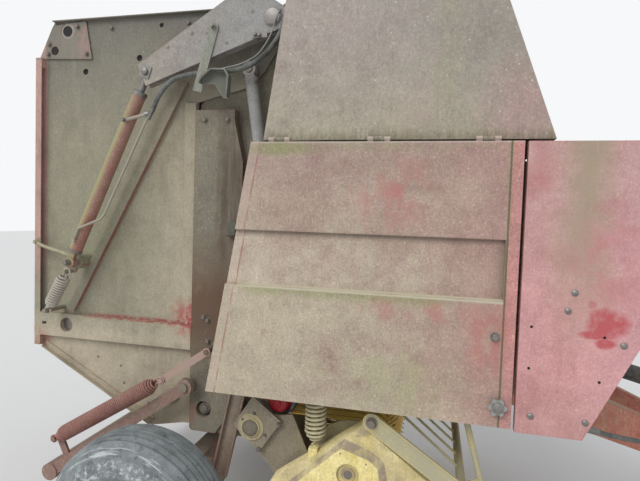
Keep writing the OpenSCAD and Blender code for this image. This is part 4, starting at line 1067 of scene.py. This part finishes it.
tuple(at(-120, 0, 858))
tuple(at(-660, 0, 527))
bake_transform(ramp_coils)

# Drives. Steel sprockets with roller chains on the left side sheet, and the cast gearbox in front, all
# of them oily and dusty.
oily_steel = dull_surface("oily_steel", (0.10, 0.085, 0.07), (0.20, 0.16, 0.11), 0.4, 0.6, dusty=0.3, grain=70)
finish(oily_steel, "side_drives", "gearbox")


def chain(build, y, low, high, pitch=25.4):
    """A roller chain about two sprockets, each (forward, up, radius), on the plane y."""
    (x0, z0, r0), (x1, z1, r1) = low, high
    span = math.hypot(x1 - x0, z1 - z0)
    heading = math.atan2(z1 - z0, x1 - x0)
    leave = math.acos((r0 - r1) / span)
    path = []
    for (x, z, r), start, end in ((high, heading + leave, heading - leave),
                                  (low, heading - leave, heading + leave - 2 * math.pi)):
        for k in range(25):
            turned = start + (end - start) * k / 24
            path.append(Vector((x + (r + 6) * math.cos(turned), z + (r + 6) * math.sin(turned))))
    path.append(path[0])
    whole = sum((b - a).length for a, b in zip(path, path[1:]))
    links = 2 * round(whole / pitch / 2)
    step, pins, walked = whole / links, [], 0.0
    for a, b in zip(path, path[1:]):
        reach = (b - a).length
        while len(pins) < links and len(pins) * step <= walked + reach:
            pins.append(a.lerp(b, (len(pins) * step - walked) / reach))
        walked += reach
    for k, pin in enumerate(pins):
        following = pins[(k + 1) % links]
        along_link = (following - pin).normalized()
        over = Vector((-along_link.y, along_link.x))
        stud(build, at(pin.x, y - 4, pin.y), (0, 1, 0), [(0, 5.5), (8, 5.5)], 8)
        plate = [middle + along_link * a + over * b for middle, a, b in (
            (pin, -6, 0), (pin, -3, 5.5), (pin, 3, 5.5), (following, -3, 5.5), (following, 3, 5.5),
            (following, 6, 0), (following, 3, -5.5), (following, -3, -5.5), (pin, 3, -5.5), (pin, -3, -5.5))]
        for inner, outer in ((4.2, 5.6), (-5.6, -4.2)) if k % 2 else ((6.0, 7.6), (-7.6, -6.0)):
            skin(build, [[at(c.x, y + offset, c.y) for c in plate] for offset in (inner, outer)])


build = bmesh.new()
chain(build, 700, (1080, 1180, 90), (1700, 1040, 60))
chain(build, 640, (1080, 1180, 70), (1220, 2620, 80))
roller_chains = new_piece("roller_chains", build, oily_steel, "frame")
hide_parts("drive_chains")

# Driveline. A telescopic steel shaft in a black plastic guard with a bell at each end. The guard has
# raised rings, and a turned collar slides on the yoke.
guard_plastic = dull_surface("guard_plastic", (0.035, 0.035, 0.035), (0.16, 0.15, 0.13), 0.55, dusty=0.35,
                             grain=50)
finish(guard_plastic, "driveline_guard")
finish(dull_steel, "driveline_shaft")
gear_end, yoke_end = at(1900, 0, 1010), at(2960, 0, 740)
shaft = (yoke_end - gear_end).normalized()
collar = [(0, 34), (0, 40), (4, 43), (8, 40), (22, 40), (26, 44), (34, 44), (36, 34)]
build = bmesh.new()
lathe(build, yoke_end - 0.052 * shaft, shaft, collar, 32)
new_piece("driveline_collar", build, bolt_steel, "driveline")
build = bmesh.new()
for reach in (0.046, (yoke_end - gear_end).length - 0.074):
    ring = [(0, 74.5), (0, 83.5), (4, 83.5), (4, 74.5), (0, 74.5)]
    lathe(build, gear_end + reach * shaft, shaft, ring, 48)
for reach in range(4):
    ring = [(0, 42), (2, 45.5), (6, 45.5), (8, 42)]
    lathe(build, gear_end + (0.24 + 0.2 * reach) * shaft, shaft, ring, 32)
bmesh.ops.remove_doubles(build, verts=build.verts, dist=0.00001)
new_piece("driveline_guard_rings", build, guard_plastic, "frame")
